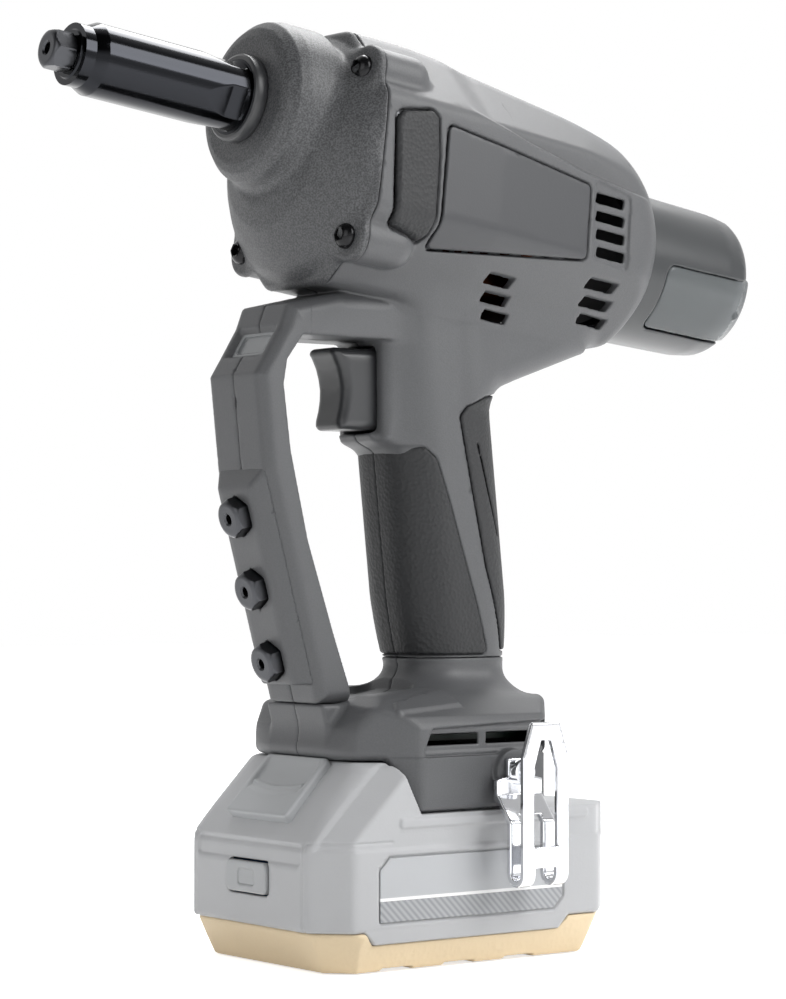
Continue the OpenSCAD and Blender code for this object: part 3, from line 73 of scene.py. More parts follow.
# Sizes are in millimetres. The barrel's outlines are (y, v) across it or (u, v) along it, the others (x, z)
# or (x, y).

# Half of the gap where two pieces part
SEAM_GAP = 0.05

# Barrel, front cover and nose
SEAM_U = 25.0
REAR_U = 137.0
BARREL_LOW = -50.5
SLEEVE_FRONT = -58
SLEEVE_R = 10.2
SLEEVE_BORE = 8.7
NOZZLE_ACROSS = 10.0
NOZZLE_BORE = 1.65
SPARE_BORE = 1.4
BARREL_SECTION = [(-45, 24.5), (15, 24.5), (36, 3.5), (36, -29.5), (15, -50.5), (-45, -50.5)]
BARREL_SIDE = [
    (15, 24.5), (42, 24.5), (62, 21.7), (87, 17.8), (110, 14.4), (129, 12), (137, 11), (137, -50.5),
    (15, -50.5),
]
CREASE = [(53.8, 5.6), (76.6, 0.1), (102.3, -4.1), (120.9, -5.9), (140, -7)]
COVER_DOME = [(-5, 8.5), (15, 8.5), (22, 11), (28, 15), (33, 19), (36, 22.5), (41, 24.3), (41, 40), (-5, 40)]
BOSS = [(-5, 0), (18.5, 0), (21, 1), (23.2, 3.4), (24, 7), (24, 18), (-5, 18)]
COVER_SCREWS = [(26.0, 10.5), (26.0, -37.5)]
SCREW_SEAT_U = 22.4
SCREW_PILLAR_R = 6.8
SIDE_PAD = [
    (28.4, -3.4), (29.9, -1.1), (40.3, 1.2), (42.7, -0.3), (44.2, -11.2), (45.2, -33.5), (43.5, -35.5),
    (31.5, -33),
]
BADGE = [(47, -1.5), (102.5, -7.5), (103.5, -29.5), (47.8, -36.5)]
# Vents as front u, top v, slots, length, shift and drop from slot to slot
VENT_ROWS = [
    (105.8, -8.8, 4, 11.5, 0.7, 5.3),
    (73.6, -38.2, 3, 10, 2.5, 4.7),
    (109.5, -33.2, 3, 11.5, 2.4, 4.7),
]
VENT_HEIGHT = 3.0
VENT_SLANT = 0.4
# How near the middle a vent reaches, and a blind one
VENT_REACH = 12
BLIND_REACH = 30
VENT_FRAME = [(104.6, -5.2), (119.6, -7.4), (120.8, -29.6), (106.4, -28.4)]

# Grip, guard and trigger: the grip stands on the foot's collar, and it and its neck end inside the barrel
COLLAR_TOP = 86
HOLD_TOP = 192.0
NECK = [(12, 158), (25.5, 164.5), (36, 168.5), (62, 177.5), (62, 194), (12, 194)]
GUARD_FRONT = [
    (-32, 190.7), (-48, 187), (-50.3, 181), (-55.8, 172), (-59.1, 166.8), (-56.2, 140), (-38, 73.7),
]
GUARD_BACK = [
    (-27, 73.7), (-27.7, 78.1), (-33.5, 94), (-42.3, 120.2), (-48.2, 145.4), (-50.6, 164), (-49.4, 171),
    (-44, 178.2), (-6, 178.2), (-6, 196),
]
GUARD_ROOM = [(-20, 60), (-42, 150), (-42, 215), (-80, 215), (-80, 60)]
GUARD_HALF = 14
GUARD_LEAN = math.atan2(18.2, 66.3)
# Middle of the lamp's seat in the guard, and its lean from upright
LAMP_PLACE = (-53, 176.6)
LAMP_LEAN = math.radians(31.4)
# Foot of the grip's middle line and its lean from upright
GRIP_PLACE = (16.2, COLLAR_TOP)
GRIP_LEAN = math.radians(6.1)
# Walls beside the trigger, the lip under it and the room behind it
CHEEKS = [(-14.2, 149), (-6, 146.5), (6, 146.5), (6, 186), (-14.2, 186)]
TRIGGER_LIP = [(-17, 151.4), (-15.4, 149.2), (-9, 147.2), (0, 146.8), (0, 151.4)]
TRIGGER_ROOM = [(-32, 151.5), (0.5, 151.5), (0.5, 176.8), (-32, 176.8)]
TRIGGER = [
    (-29.2, 175), (-27.6, 172.8), (-26.2, 170), (-25.3, 167), (-24.8, 164), (-24.9, 161), (-25.4, 158),
    (-26.2, 155.2), (-26.3, 153.4), (-25.4, 152.1), (-8.5, 152.1), (-8.5, 175.9), (-27.2, 175.9),
]
GRIP_RUBBER = [(-30, 87), (21.2, 87), (12.9, 110.9), (6.2, 131), (1.4, 144.3), (-2.1, 147.4), (-30, 147.2)]
REAR_RUBBER = [
    (27.5, 88), (25.9, 94), (19.7, 112.3), (14.8, 134), (9.9, 156.7), (12, 159.5), (20, 162.7), (44, 166),
    (60, 150), (60, 88),
]
STRIP_GROOVE = [(16.4, 148.7), (20.7, 135.3), (25.6, 122.1)]
# How far rubber stands out of its seat and reaches into it, and the same for the pads and badge plates
RUBBER_OUT = 0.35
RUBBER_IN = 0.8
PAD_OUT = 0.9
BADGE_OUT = 0.1
PLATE_IN = 1.2
# The guard's pad and the heights of its spare nozzles
GUARD_PAD_LOW = 79
GUARD_PAD_TOP = 140
GUARD_PAD_THICK = 4
SPARE_HEIGHTS = (127.9, 107.4, 86.9)
# Holes in the right halves for the screws that join them to the left ones
BARREL_JOINS = [(62, 18), (120, 9.5)]
GRIP_JOINS = [(10.8, 131), (19, 92.5)]
FOOT_JOINS = [(-27, 66.5), (39.2, 63.5)]
JOIN_R = 3.1
JOIN_REACH = 7

# Collector: how far its mouth in the housing and it lie under the pull axis
MOUTH_DROP = 20.5
MOUTH_R = 21.5
MOUTH_FRONT = 128
COLLECTOR_DROP = 21.3
COLLECTOR_LINE = [(137, 24), (172, 23.3), (178, 22.5), (182, 20.6), (184, 18)]
SHROUD_END = 180.5
BOTTLE_END = 183.8
WINDOW_FRONT = 145
WINDOW_HALF = 11
# The moulding pip at the bottle's end: its u, its distance from the axis and its angle round it
PIP_PLACE = (178.5, 21.5, math.radians(240))

# Foot: its forms on the side are cut from a given distance off the middle
FOOT_WALL = 2.6
FOOT_CUT = 26
HOLLOW_DEPTH = 2.4
FACET_RISE = 0.8
FOOT_PLAN = [(-38.5, 14), (-34, 25), (-19, 36), (26, 36), (43, 15), (43, -40), (-38.5, -40)]
FOOT_SIDE = [(-38.5, 58), (43, 58), (43, 68.5), (37, 75), (-5, 77.5), (-24, 76), (-30, 73), (-35, 67)]
FOOT_END = [(-50, 40), (36, 40), (36, 67), (33.5, 70.3), (18, 78.5), (-50, 78.5)]
FOOT_PANEL = [(-14.7, 66.9), (30, 68.3), (30, 60.4), (-17.6, 60.4)]
FOOT_SILL = [(-17.6, 60.4), (30, 60.4), (30, 56.4), (-16.1, 56.4)]
FOOT_FACET = [(-22, 27), (-1, 20), (0.6, 29), (-25, 32)]
FOOT_SLOTS = [
    [(-16.6, 62.2), (2.3, 62.2), (2.3, 65.4), (-15.4, 65.4)],
    [(5.2, 62.2), (20.8, 62.2), (20.8, 65.4), (5.2, 65.4)],
]
GUARD_STUB = [(-38, 73.6), (-27, 73.6), (-22, 66), (-22, 58), (-33.5, 58)]
SKIRT = [(-27, 60), (-25.4, 56.4), (-24.3, 53.5), (-22.6, 50.1), (-19.4, 43.9), (26, 43.9), (26, 60)]
# The belt hook: its screw, and its outlines as (x, z) from the screw's x
HOOK_SCREW = (13, 54)
HOOK_OUTER = [(-8.3, 18), (8.3, 18), (8.3, 59), (5, 68.8), (-5, 68.8), (-8.3, 59)]
HOOK_WINDOW = [(-4.2, 33.5), (4.2, 33.5), (4.2, 56), (1.8, 63.6), (-1.8, 63.6), (-4.2, 56)]
HOOK_INNER = [
    (-8.3, 18), (8.3, 18), (8.3, 52), (4.2, 53), (4.2, 58), (-4.2, 58), (-4.2, 53), (-8.3, 52),
]
HOOK_SLOT_HALF = 3.8
HOOK_BEND = (-48.15, 26)
HOOK_BEND_R = 2.95
HOOK_THICK = 1.8

# Battery
BATTERY_HALF = 38
CASE_WALL = 2.4
BATTERY_PLAN = [(-54, 28.5), (-44.5, 38), (44.5, 38), (54, 28.5), (54, -60), (-54, -60)]
BATTERY_SIDE = [
    (-54, 11.6), (54, 11.6), (54, 43.2), (46, 57.6), (-34.5, 57.6), (-46.5, 44.5), (-51.9, 37.3),
    (-54, 33.8),
]
TRAY_PLAN = [(-51.4, 28.4), (-41.8, 38), (42.7, 38), (52.4, 28.3), (52.4, -60), (-51.4, -60)]
CASE_RIB = [(-28, 39.6), (41, 39.6), (41, 42.6), (-28, 42.6)]
BATTERY_TONGUE = [(-40.6, 12.2), (-36.8, 8.1), (29.4, 8.1), (33.6, 12.2)]
LABEL = [(-35, 14), (27.5, 14), (31, 17.5), (31, 32), (-31.5, 32), (-35, 28.5)]
# The label's stripe as shares of its height, and the spacing of its slanted lines
LABEL_STRIPE = (0.33, 0.38)
HATCH_SPACING = 1.7
# Middle of the latch on the front slope, and the slope's lean from upright
LATCH_PLACE = (-42.5, 50.8)
LATCH_LEAN = math.atan2(13, 13.6)
GAUGE_Z = 25
TRAY_NOTCHES = (-26, -4, 18)

# Edges sharper than this stay sharp on turned pieces, and how far flat stretches of a skin are thinned out
SHARP_ANGLE = math.radians(30.0)
THINNING = 0.02
# The stage: the floor lies a little under the tool, and the lights face the tool's middle
WHITE = (1, 1, 1, 1)
FLOOR_GAP = 0.4
FLOOR_GLOW = 0.68
TOOL_MIDDLE = Vector((0, 0, 0.13))


def linear(hex_colour):
    """A shader colour from an sRGB hex colour."""
    parts = [int(hex_colour[i:i + 2], 16) / 255 for i in (1, 3, 5)]
    return (*[p / 12.92 if p <= 0.04045 else ((p + 0.055) / 1.055) ** 2.4 for p in parts], 1.0)


def add_node(tree, kind, settings=None, ordered=(), **inputs):
    """Adds a shader or geometry node, linking sockets and setting plain values in order or by input name."""
    made = tree.nodes.new(kind)
    for key, value in (settings or {}).items():
        setattr(made, key, value)
    fed = list(zip(made.inputs, ordered))
    fed += [(made.inputs[key.replace("_", " ")], value) for key, value in inputs.items()]
    for socket, value in fed:
        if isinstance(value, bpy.types.NodeSocket):
            tree.links.new(value, socket)
        else:
            socket.default_value = value
    return made


def new_material(name, hex_colour, roughness, metallic=0.0, **more):
    """A principled material, with its tree and shader for what a finish adds."""
    material = bpy.data.materials.new(name)
    material.use_nodes = True
    tree = material.node_tree
    shader = tree.nodes["Principled BSDF"]
    shader.inputs["Base Color"].default_value = linear(hex_colour)
    shader.inputs["Roughness"].default_value = roughness
    shader.inputs["Metallic"].default_value = metallic
    for key, value in more.items():
        shader.inputs[key.replace("_", " ")].default_value = value
    return material, tree, shader


def grained(tree, shader, kind, size_mm, depth_mm, colours=(), ends=(0.0, 1.0), **inputs):
    """Bumps a surface by a pattern of a given width and depth, and colours it between two hex colours."""
    place = add_node(tree, "ShaderNodeTexCoord").outputs["Object"]
    pattern = add_node(tree, kind, Vector=place, Scale=1.0 / (size_mm * MM), **inputs).outputs[0]
    bump = add_node(tree, "ShaderNodeBump", Height=pattern, Distance=depth_mm * MM)
    tree.links.new(bump.outputs["Normal"], shader.inputs["Normal"])
    if colours:
        ramp = add_node(tree, "ShaderNodeValToRGB", Fac=pattern)
        for element, colour, end in zip(ramp.color_ramp.elements, colours, ends):
            element.color, element.position = linear(colour), end
        tree.links.new(ramp.outputs["Color"], shader.inputs["Base Color"])


def seen_directly(tree):
    """A socket that is 1 for what the camera, a mirror or glass shows, and 0 for what lights the object."""
    rays = add_node(tree, "ShaderNodeLightPath").outputs
    found = rays["Is Camera Ray"]
    for kind in ("Is Glossy Ray", "Is Transmission Ray"):
        found = add_node(tree, "ShaderNodeMath", {"operation": "MAXIMUM"}, (found, rays[kind])).outputs[0]
    return found


def label_film():
    """Printed film on the battery: a plain field, a white stripe and a band of slanted lines below it."""
    film, tree, shader = new_material("printed label film", "#adafb2", 0.35)
    place = add_node(tree, "ShaderNodeTexCoord").outputs["Object"]
    lines = add_node(tree, "ShaderNodeTexWave", {"bands_direction": "DIAGONAL"}, Vector=place,
                     Scale=0.5 / (HATCH_SPACING * MM))
    hatch = add_node(tree, "ShaderNodeValToRGB", Fac=lines.outputs["Fac"])
    for element, colour in zip(hatch.color_ramp.elements, ("#8d8f92", "#a9abae")):
        element.color = linear(colour)
    height = add_node(tree, "ShaderNodeSeparateXYZ", Vector=place).outputs["Z"]
    zones = add_node(tree, "ShaderNodeMapRange", Value=height, From_Min=LABEL[0][1] * MM,
                     From_Max=LABEL[3][1] * MM).outputs[0]
    bands = add_node(tree, "ShaderNodeValToRGB", Fac=zones)
    bands.color_ramp.interpolation = "CONSTANT"
    stripe = bands.color_ramp.elements[1]
    stripe.position, stripe.color = LABEL_STRIPE[0], linear("#f2f2f2")
    bands.color_ramp.elements.new(LABEL_STRIPE[1]).color = linear("#b4b6b9")
    low = add_node(tree, "ShaderNodeMath", {"operation": "LESS_THAN"}, (zones, LABEL_STRIPE[0])).outputs[0]
    whole = add_node(tree, "ShaderNodeMix", {"data_type": "RGBA"})
    for place, socket in ((0, low), (6, bands.outputs["Color"]), (7, hatch.outputs["Color"])):
        tree.links.new(socket, whole.inputs[place])
    tree.links.new(whole.outputs[2], shader.inputs["Base Color"])
    return film


def make_materials():
    """Every finish on the tool, by the name that its pieces ask for."""
    made = {}
    noise, cells = "ShaderNodeTexNoise", "ShaderNodeTexVoronoi"

    # Spark-eroded grey nylon: a matt grain that breaks up highlights, drawn coarse enough to show
    made["nylon_housing"], tree, shader = new_material("moulded grey nylon", "#535456", 0.48)
    grained(tree, shader, noise, 0.45, 0.05, ("#4c4d4f", "#5b5c5e"), Detail=3)

    # Powder-coated casting: darker, with a coarse speckle that catches the light
    made["cover_casting"], tree, shader = new_material("speckled powder coat", "#424345", 0.5)
    grained(tree, shader, noise, 0.5, 0.07, ("#343537", "#58595b"), (0.38, 0.64), Detail=3)

    # One-coloured finishes with a grain, whose width and depth in mm come last
    for slot, name, colour, roughness, metallic, kind, size_mm, depth_mm in (
        # Soft rubber: near black, with a leather-like grain
        ("black_rubber", "leather-grained rubber", "#202123", 0.58, 0.0, cells, 1.1, 0.18),
        # Base of the battery: pale tan and matt, with a knit-like grain
        ("battery_tan", "pale tan plastic", "#e4d0ae", 0.55, 0.0, cells, 1.6, 0.1),
        # Nozzles: dark grey, with reflections that the turning softens
        ("dark_steel", "dark turned steel", "#4a4b4e", 0.32, 1.0, noise, 0.3, 0.01),
        # Shroud of the collector: dark, with broad soft highlights
        ("shroud_plastic", "satin dark plastic", "#37393b", 0.3, 0.0, noise, 0.4, 0.01),
        # Bare badge plates: a shade darker and smoother than the housing
        ("badge_plastic", "satin badge plate", "#3e3f42", 0.4, 0.0, noise, 0.6, 0.02),
        # Case of the battery: pale, even and matt
        ("battery_grey", "pale grey plastic", "#b3b4b6", 0.5, 0.0, noise, 0.6, 0.03),
        # Latch and gauge button: smoother than the case and a shade darker
        ("latch_grey", "satin latch plastic", "#a6a8aa", 0.42, 0.0, noise, 0.5, 0.02),
    ):
        made[slot], tree, shader = new_material(name, colour, roughness, metallic)
        grained(tree, shader, kind, size_mm, depth_mm)

    # Clear plastic of the collector's bottle: smoky and half see-through, with sharp reflections
    clear = new_material("clear plastic", "#7d8183", 0.07, Transmission_Weight=0.5, IOR=1.3)
    made["clear_plastic"] = clear[0]
    # Frosted lens of the lamp: pale, with a soft shine
    made["frosted_lens"] = new_material("frosted lens", "#8f9294", 0.22, Transmission_Weight=0.25)[0]
    made["label_film"] = label_film()

    # Smooth finishes, outside the tool and then inside it
    for slot, name, colour, roughness, metallic in (
        # Trigger and nose ring: soft highlights along the edges
        ("black_plastic", "smooth black plastic", "#37383a", 0.34, 0.0),
        # Nose sleeve: sharp dark reflections
        ("blackened_steel", "blackened polished steel", "#2a2b2e", 0.13, 1.0),
        # Cover screws: glossy heads with small highlights
        ("black_screw", "oiled black screw", "#1a1a1c", 0.22, 0.6),
        # Belt hook: a bright mirror
        ("chrome_steel", "chromed steel", "#e4e5e8", 0.1, 1.0),
        # Pale, soft reflections of ground shafts, brighter ones of races and duller ones of gear teeth
        ("bright_steel", "ground steel", "#b9babd", 0.25, 1.0),
        ("bearing_steel", "bearing steel", "#a9abb0", 0.18, 1.0),
        ("gear_steel", "hobbed gear steel", "#8b8d92", 0.3, 1.0),
        # Matt pale grey of castings, warm shine of bushes and dark red-brown of windings
        ("cast_aluminium", "cast aluminium", "#a3a5a8", 0.48, 1.0),
        ("bronze", "oiled bronze", "#9a7440", 0.35, 1.0),
        ("copper_winding", "enamelled copper", "#4a2a1a", 0.35, 1.0),
        # Dark green lacquer, matt black contacts, shiny blue sleeves and ivory holders
        ("circuit_board", "green circuit board", "#10251a", 0.45, 0.0),
        ("contact_plastic", "black contact plastic", "#222326", 0.45, 0.0),
        ("cell_sleeve", "shrink sleeve on cells", "#2f5f9e", 0.35, 0.0),
        ("holder_plastic", "ivory holder plastic", "#d9d3c0", 0.5, 0.0),
    ):
        made[slot] = new_material(name, colour, roughness, metallic)[0]
    return made


# Finishes by name, which main fills
FINISH = {}


class Block:
    """A box of sample points in millimetres, over which a piece is written as distances to its surface."""

    def __init__(self, low, high, step, place=None):
        self.low = np.array(low, np.float32)
        self.step = step
        self.place = place or Matrix.Identity(4)
        x, y, z = (np.arange(a, b + step, step, dtype=np.float32) for a, b in zip(low, high))
        self.x, self.y, self.z = x[:, None, None], y[None, :, None], z[None, None, :]

    def half(self):
        """X, the distance from the middle plane, and Z."""
        return self.x, np.abs(self.y), self.z

    def barrel(self):
        """The barrel's U and V at the points of a block that stands in the tool's frame."""
        x, z = self.x - BARREL_ZERO.x, self.z - BARREL_ZERO.z
        return x * U_AXIS.x + z * U_AXIS.z, x * V_AXIS.x + z * V_AXIS.z


def both(a, b, r=0.0):
    """What lies in both shapes, with the edge rounded by r."""
    if r <= 0:
        return np.maximum(a, b)
    return np.minimum(np.maximum(a, b), -r) + np.hypot(np.maximum(a + r, 0), np.maximum(b + r, 0))


def either(a, b, r=0.0):
    """What lies in one shape or the other, with a fillet of r between them."""
    if r <= 0:
        return np.minimum(a, b)
    return np.maximum(np.minimum(a, b), r) - np.hypot(np.maximum(r - a, 0), np.maximum(r - b, 0))


def without(a, b, r=0.0):
    """The first shape with the second cut out of it."""
    return both(a, -b, r)


def span(a, low, high):
    """A slab from low to high."""
    return np.maximum(low - a, a - high)


def ease(a, low, high):
    """Rises smoothly from 0 at low to 1 at high."""
    t = np.clip((a - low) / (high - low), 0, 1)
    return t * t * (3 - 2 * t)


def inset(points, r):
    """The outline moved inwards by r, corner by corner."""
    area = sum(a[0] * b[1] - b[0] * a[1] for a, b in zip(points, points[1:] + points[:1]))
    turn = 1 if area > 0 else -1
    moved = []
    for k, here in enumerate(points):
        before, after = points[k - 1], points[(k + 1) % len(points)]
        e = Vector((here[0] - before[0], here[1] - before[1])).normalized()
        f = Vector((after[0] - here[0], after[1] - here[1])).normalized()
        inward = Vector((-e.y - f.y, e.x + f.x)) * turn
        scale = r / max(1 + e.dot(f), 0.2)
        moved.append((here[0] + inward.x * scale, here[1] + inward.y * scale))
    return moved


def outline(a, b, points, r=0.0):
    """Distance to a closed outline, negative inside it, with its outer corners rounded by r."""
    points = inset(points, r) if r else points
    least, sign = np.float32(1e9), np.float32(1)
    for (x0, y0), (x1, y1) in zip(points, points[1:] + points[:1]):
        ex, ey = x1 - x0, y1 - y0
        wx, wy = a - np.float32(x0), b - np.float32(y0)
        t = np.clip((wx * ex + wy * ey) / (ex * ex + ey * ey), 0, 1)
        least = np.minimum(least, (wx - ex * t) ** 2 + (wy - ey * t) ** 2)
        over, under, left = b >= y0, b < y1, ex * wy > ey * wx
        sign = np.where((over & under & left) | (~over & ~under & ~left), -sign, sign)
    return (sign * np.sqrt(least)).astype(np.float32) - np.float32(r)


def along(a, points):
    """The height at a of a line through points."""
    return np.interp(a, [p[0] for p in points], [p[1] for p in points]).astype(np.float32)


def trail(a, b, points):
    """Distance to an open line through points."""
    least = np.float32(1e9)
    for (x0, y0), (x1, y1) in zip(points, points[1:]):
        ex, ey = x1 - x0, y1 - y0
        wx, wy = a - np.float32(x0), b - np.float32(y0)
        t = np.clip((wx * ex + wy * ey) / (ex * ex + ey * ey), 0, 1)
        least = np.minimum(least, (wx - ex * t) ** 2 + (wy - ey * t) ** 2)
    return np.sqrt(least).astype(np.float32)


def sample(field, points):
    """The field's values at fractional grid places."""
    top = np.array(field.shape) - 2
    cell = np.clip(np.floor(points).astype(int), 0, top)
    part = np.clip(points - cell, 0, 1)
    value = 0
    for corner in np.ndindex(2, 2, 2):
        weight = np.prod(np.where(corner, part, 1 - part), axis=1)
        value = value + weight * field[tuple((cell + corner).T)]
    return value


def skin(name, block, field, mirror=None):
    """A smooth mesh on a field's surface; mirror "only" flips it to the right side, "also" adds that side."""
    grid = openvdb.FloatGrid(background=3 * block.step)
    grid.gridClass = openvdb.GridClass.LEVEL_SET
    grid.copyFromArray(np.clip(field, -3 * block.step, 3 * block.step).astype(np.float32), tolerance=1e-4)
    points, tris, quads = grid.convertToPolygons(isovalue=0.0, adaptivity=THINNING)
    steps = 0.6 * np.eye(3)
    normals = np.stack([sample(field, points + h) - sample(field, points - h) for h in steps], axis=1)
    normals /= np.linalg.norm(normals, axis=1, keepdims=True) + 1e-9
    first = quads[0] if len(quads) else tris[0]
    face = np.cross(points[first[1]] - points[first[0]], points[first[2]] - points[first[0]])
    inside_out = face @ normals[first].sum(axis=0) < 0
    matrix = np.array(block.place)
    points = (block.low + block.step * points) @ matrix[:3, :3].T + matrix[:3, 3]
    normals = normals @ matrix[:3, :3].T
    if inside_out:
        tris, quads = tris[:, ::-1], quads[:, ::-1]
    flip = np.array([1, -1, 1])
    if mirror == "only":
        points, normals, tris, quads = points * flip, normals * flip, tris[:, ::-1], quads[:, ::-1]
    elif mirror == "also":
        count = len(points)
        points, normals = np.vstack([points, points * flip]), np.vstack([normals, normals * flip])
        tris = np.vstack([tris, tris[:, ::-1] + count])
        quads = np.vstack([quads, quads[:, ::-1] + count])
    return smooth_mesh(name, points, tris, quads, normals)


def smooth_mesh(name, points, tris, quads, normals=None):
    """A mesh in metres from points in millimetres, with given vertex normals."""
    mesh = bpy.data.meshes.new(name)
    corners = np.concatenate([quads.ravel(), tris.ravel()]).astype(np.int32)
    sizes = np.concatenate([np.full(len(quads), 4), np.full(len(tris), 3)]).astype(np.int32)
    mesh.vertices.add(len(points))
    mesh.vertices.foreach_set("co", (points * MM).astype(np.float32).ravel())
    mesh.loops.add(len(corners))
    mesh.loops.foreach_set("vertex_index", corners)
    mesh.polygons.add(len(sizes))
    mesh.polygons.foreach_set("loop_start", (np.cumsum(sizes) - sizes).astype(np.int32))
    mesh.polygons.foreach_set("use_smooth", np.ones(len(sizes), bool))
    mesh.update(calc_edges=True)
    if normals is not None:
        mesh.normals_split_custom_set_from_vertices(normals.astype(np.float32))
    return mesh


def piece(mesh, finish, body, node):
    """Puts a mesh on show with its finish, riding on a body in place of its CAD node."""
    made = bpy.data.objects.new(mesh.name, mesh)
    bpy.context.collection.objects.link(made)
    mesh.materials.append(FINISH[finish])
    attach(made, body)
    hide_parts(node)


def moulded(name, block, field, finish, body="tool", mirror=None):
    """Shows a field's surface in place of the CAD node of the same name."""
    piece(skin(name, block, field, mirror), finish, body, name)


def tube(name, rings, place):
    """A closed surface through rings of (u, y, v) points, the last of which joins the first."""
    count, around = len(rings), len(rings[0])
    points = np.vstack(rings)
    here = np.arange(count * around).reshape(count, around)
    ahead = np.roll(here, -1, axis=0)
    corners = [here, ahead, np.roll(ahead, -1, axis=1), np.roll(here, -1, axis=1)]
    quads = np.stack(corners, axis=-1).reshape(-1, 4)
    matrix = np.array(place)
    points = points @ matrix[:3, :3].T + matrix[:3, 3]
    mesh = smooth_mesh(name, points, np.zeros((0, 3), int), quads)
    mesh.set_sharp_from_angle(angle=SHARP_ANGLE)
    return mesh


def ring(u, radius, turns):
    """A ring of points round the pull axis at u, where radius may vary round it."""
    return np.stack([np.full_like(turns, u), radius * np.sin(turns), radius * np.cos(turns)], axis=-1)


def turned(line, turns):
    """Rings for an outline of (u, radius) points that is turned round the pull axis."""
    return [ring(u, radius, turns) for u, radius in line]


def flats_round(turns, across, count=6):
    """The radius round a regular shape with count flats, of a given width across it."""
    share = 2 * math.pi / count
    return across / 2 / np.cos((turns + share / 2) % share - share / 2)


class HousingSizes(bpy.types.PropertyGroup):
    """Sizes of the moulded shells."""

    step: FloatProperty(name="Grid step", description="Sample spacing in mm", default=0.5, min=0.2)
    wall: FloatProperty(name="Wall", description="Wall thickness in mm", default=2.8, min=1)
    corner: FloatProperty(name="Corner", description="Rounding of the barrel's edges, mm", default=6, min=0.5)
    crease: FloatProperty(name="Crease", description="Depth of the step along the top, mm", default=1.8)
    fillet: FloatProperty(name="Fillet", description="Fillet under the barrel, mm", default=6, min=0)
    guard_cut: FloatProperty(name="Guard edge", description="Chamfer of the guard's front, mm", default=2.4)


class StageSizes(bpy.types.PropertyGroup):
    """Camera and lights."""

    camera: FloatVectorProperty(name="Camera", description="Place of the camera", subtype="XYZ",
                                unit="LENGTH", default=(-0.5157, -0.6815, 0.11173))
    heading: FloatProperty(name="Heading", description="Camera's turn about the vertical", subtype="ANGLE",
                           default=math.radians(-37.0))
    pitch: FloatProperty(name="Pitch", description="Camera's tilt up", subtype="ANGLE",
                         default=math.radians(1.39))
    lens: FloatProperty(name="Lens", description="Focal length in mm", default=104.5, min=10)
    key: FloatProperty(name="Key light", description="Power of the light from the right in W", default=8.5)
    fill: FloatProperty(name="Fill light", description="Power of the light from the left in W", default=1.5)
    top: FloatProperty(name="Top light", description="Power of the light from above in W", default=8.0)
    room: FloatProperty(name="Room light", description="Strength of the light from all round", default=0.38)


def side_field(y, u, v, sizes):
    """The barrel's section, slimmer towards its rear."""
    slim = 4.0 * np.clip((u - 68) / 69, 0, 1)
    return outline(y + slim, v, BARREL_SECTION, sizes.corner)


def barrel_field(y, u, v, sizes):
    """The barrel without its front cover, as one solid with a crease along its shoulder."""
    over = v - along(u, CREASE)
    section = side_field(y, u, v, sizes) + sizes.crease * ease(u, 54, 66) * ease(over, -0.5, 0.5)
    solid = both(section, outline(u, v, BARREL_SIDE), 3.0)
    round_out = np.hypot(y, v + MOUTH_DROP)
    # A long cone towards the rear and a short steep one at its end
    long_cone = 0.97 * (round_out - 44.3 + 0.25 * (u - 90))
    end_cone = 0.64 * (round_out - 26 + 1.2 * (u - REAR_U))
    return both(solid, both(both(long_cone, end_cone, 5.0), u - REAR_U, 2.0), 2.0)


def grip_field(x, y, z):
    """The leaning grip's rounded section, drawn in towards its foot."""
    middle = GRIP_PLACE[0] - (z - GRIP_PLACE[1]) * math.tan(GRIP_LEAN)
    ax = np.abs(x - middle) * math.cos(GRIP_LEAN) - 5
    ay = y - 3
    radius = 13.8 - 1.8 * (np.clip(105 - z, 0, None) / 19) ** 1.5
    return np.hypot(np.maximum(ax, 0), np.maximum(ay, 0)) + np.minimum(np.maximum(ax, ay), 0) - radius


def guard_field(x, y, z, sizes):
    """The bar in front of the fingers, with chamfers down its front."""
    bar = outline(x, z, GUARD_FRONT + GUARD_BACK, 1.0)
    front = outline(x, z, GUARD_FRONT + [(60, 73.7), (60, 190.7)])
    bar = both(bar, y - GUARD_HALF, 1.0)
    return both(bar, (front + y - GUARD_HALF + sizes.guard_cut) * math.sqrt(0.5), 0.8)


def shell_field(block, sizes):
    """The outer form of the barrel with its grip and neck."""
    y = np.abs(block.y)
    u, v = block.barrel()
    neck = both(outline(block.x, block.z, NECK), y - 16, 7.0)
    hold = np.maximum(either(grip_field(block.x, y, block.z), neck, 6.0), block.z - HOLD_TOP)
    return either(barrel_field(y, u, v, sizes), hold, sizes.fillet)


def dent(shape, soft=0.6):
    """1 inside a shape and 0 outside it, with a slope of a given width between."""
    return np.clip(0.5 - shape / soft, 0, 1)


def slanted(block, place, lean):
    """Distance out of a slanted seat and up along it, from its middle."""
    x, z = block.x - place[0], block.z - place[1]
    out = -x * math.cos(lean) + z * math.sin(lean)
    up = x * math.sin(lean) + z * math.cos(lean)
    return out, up


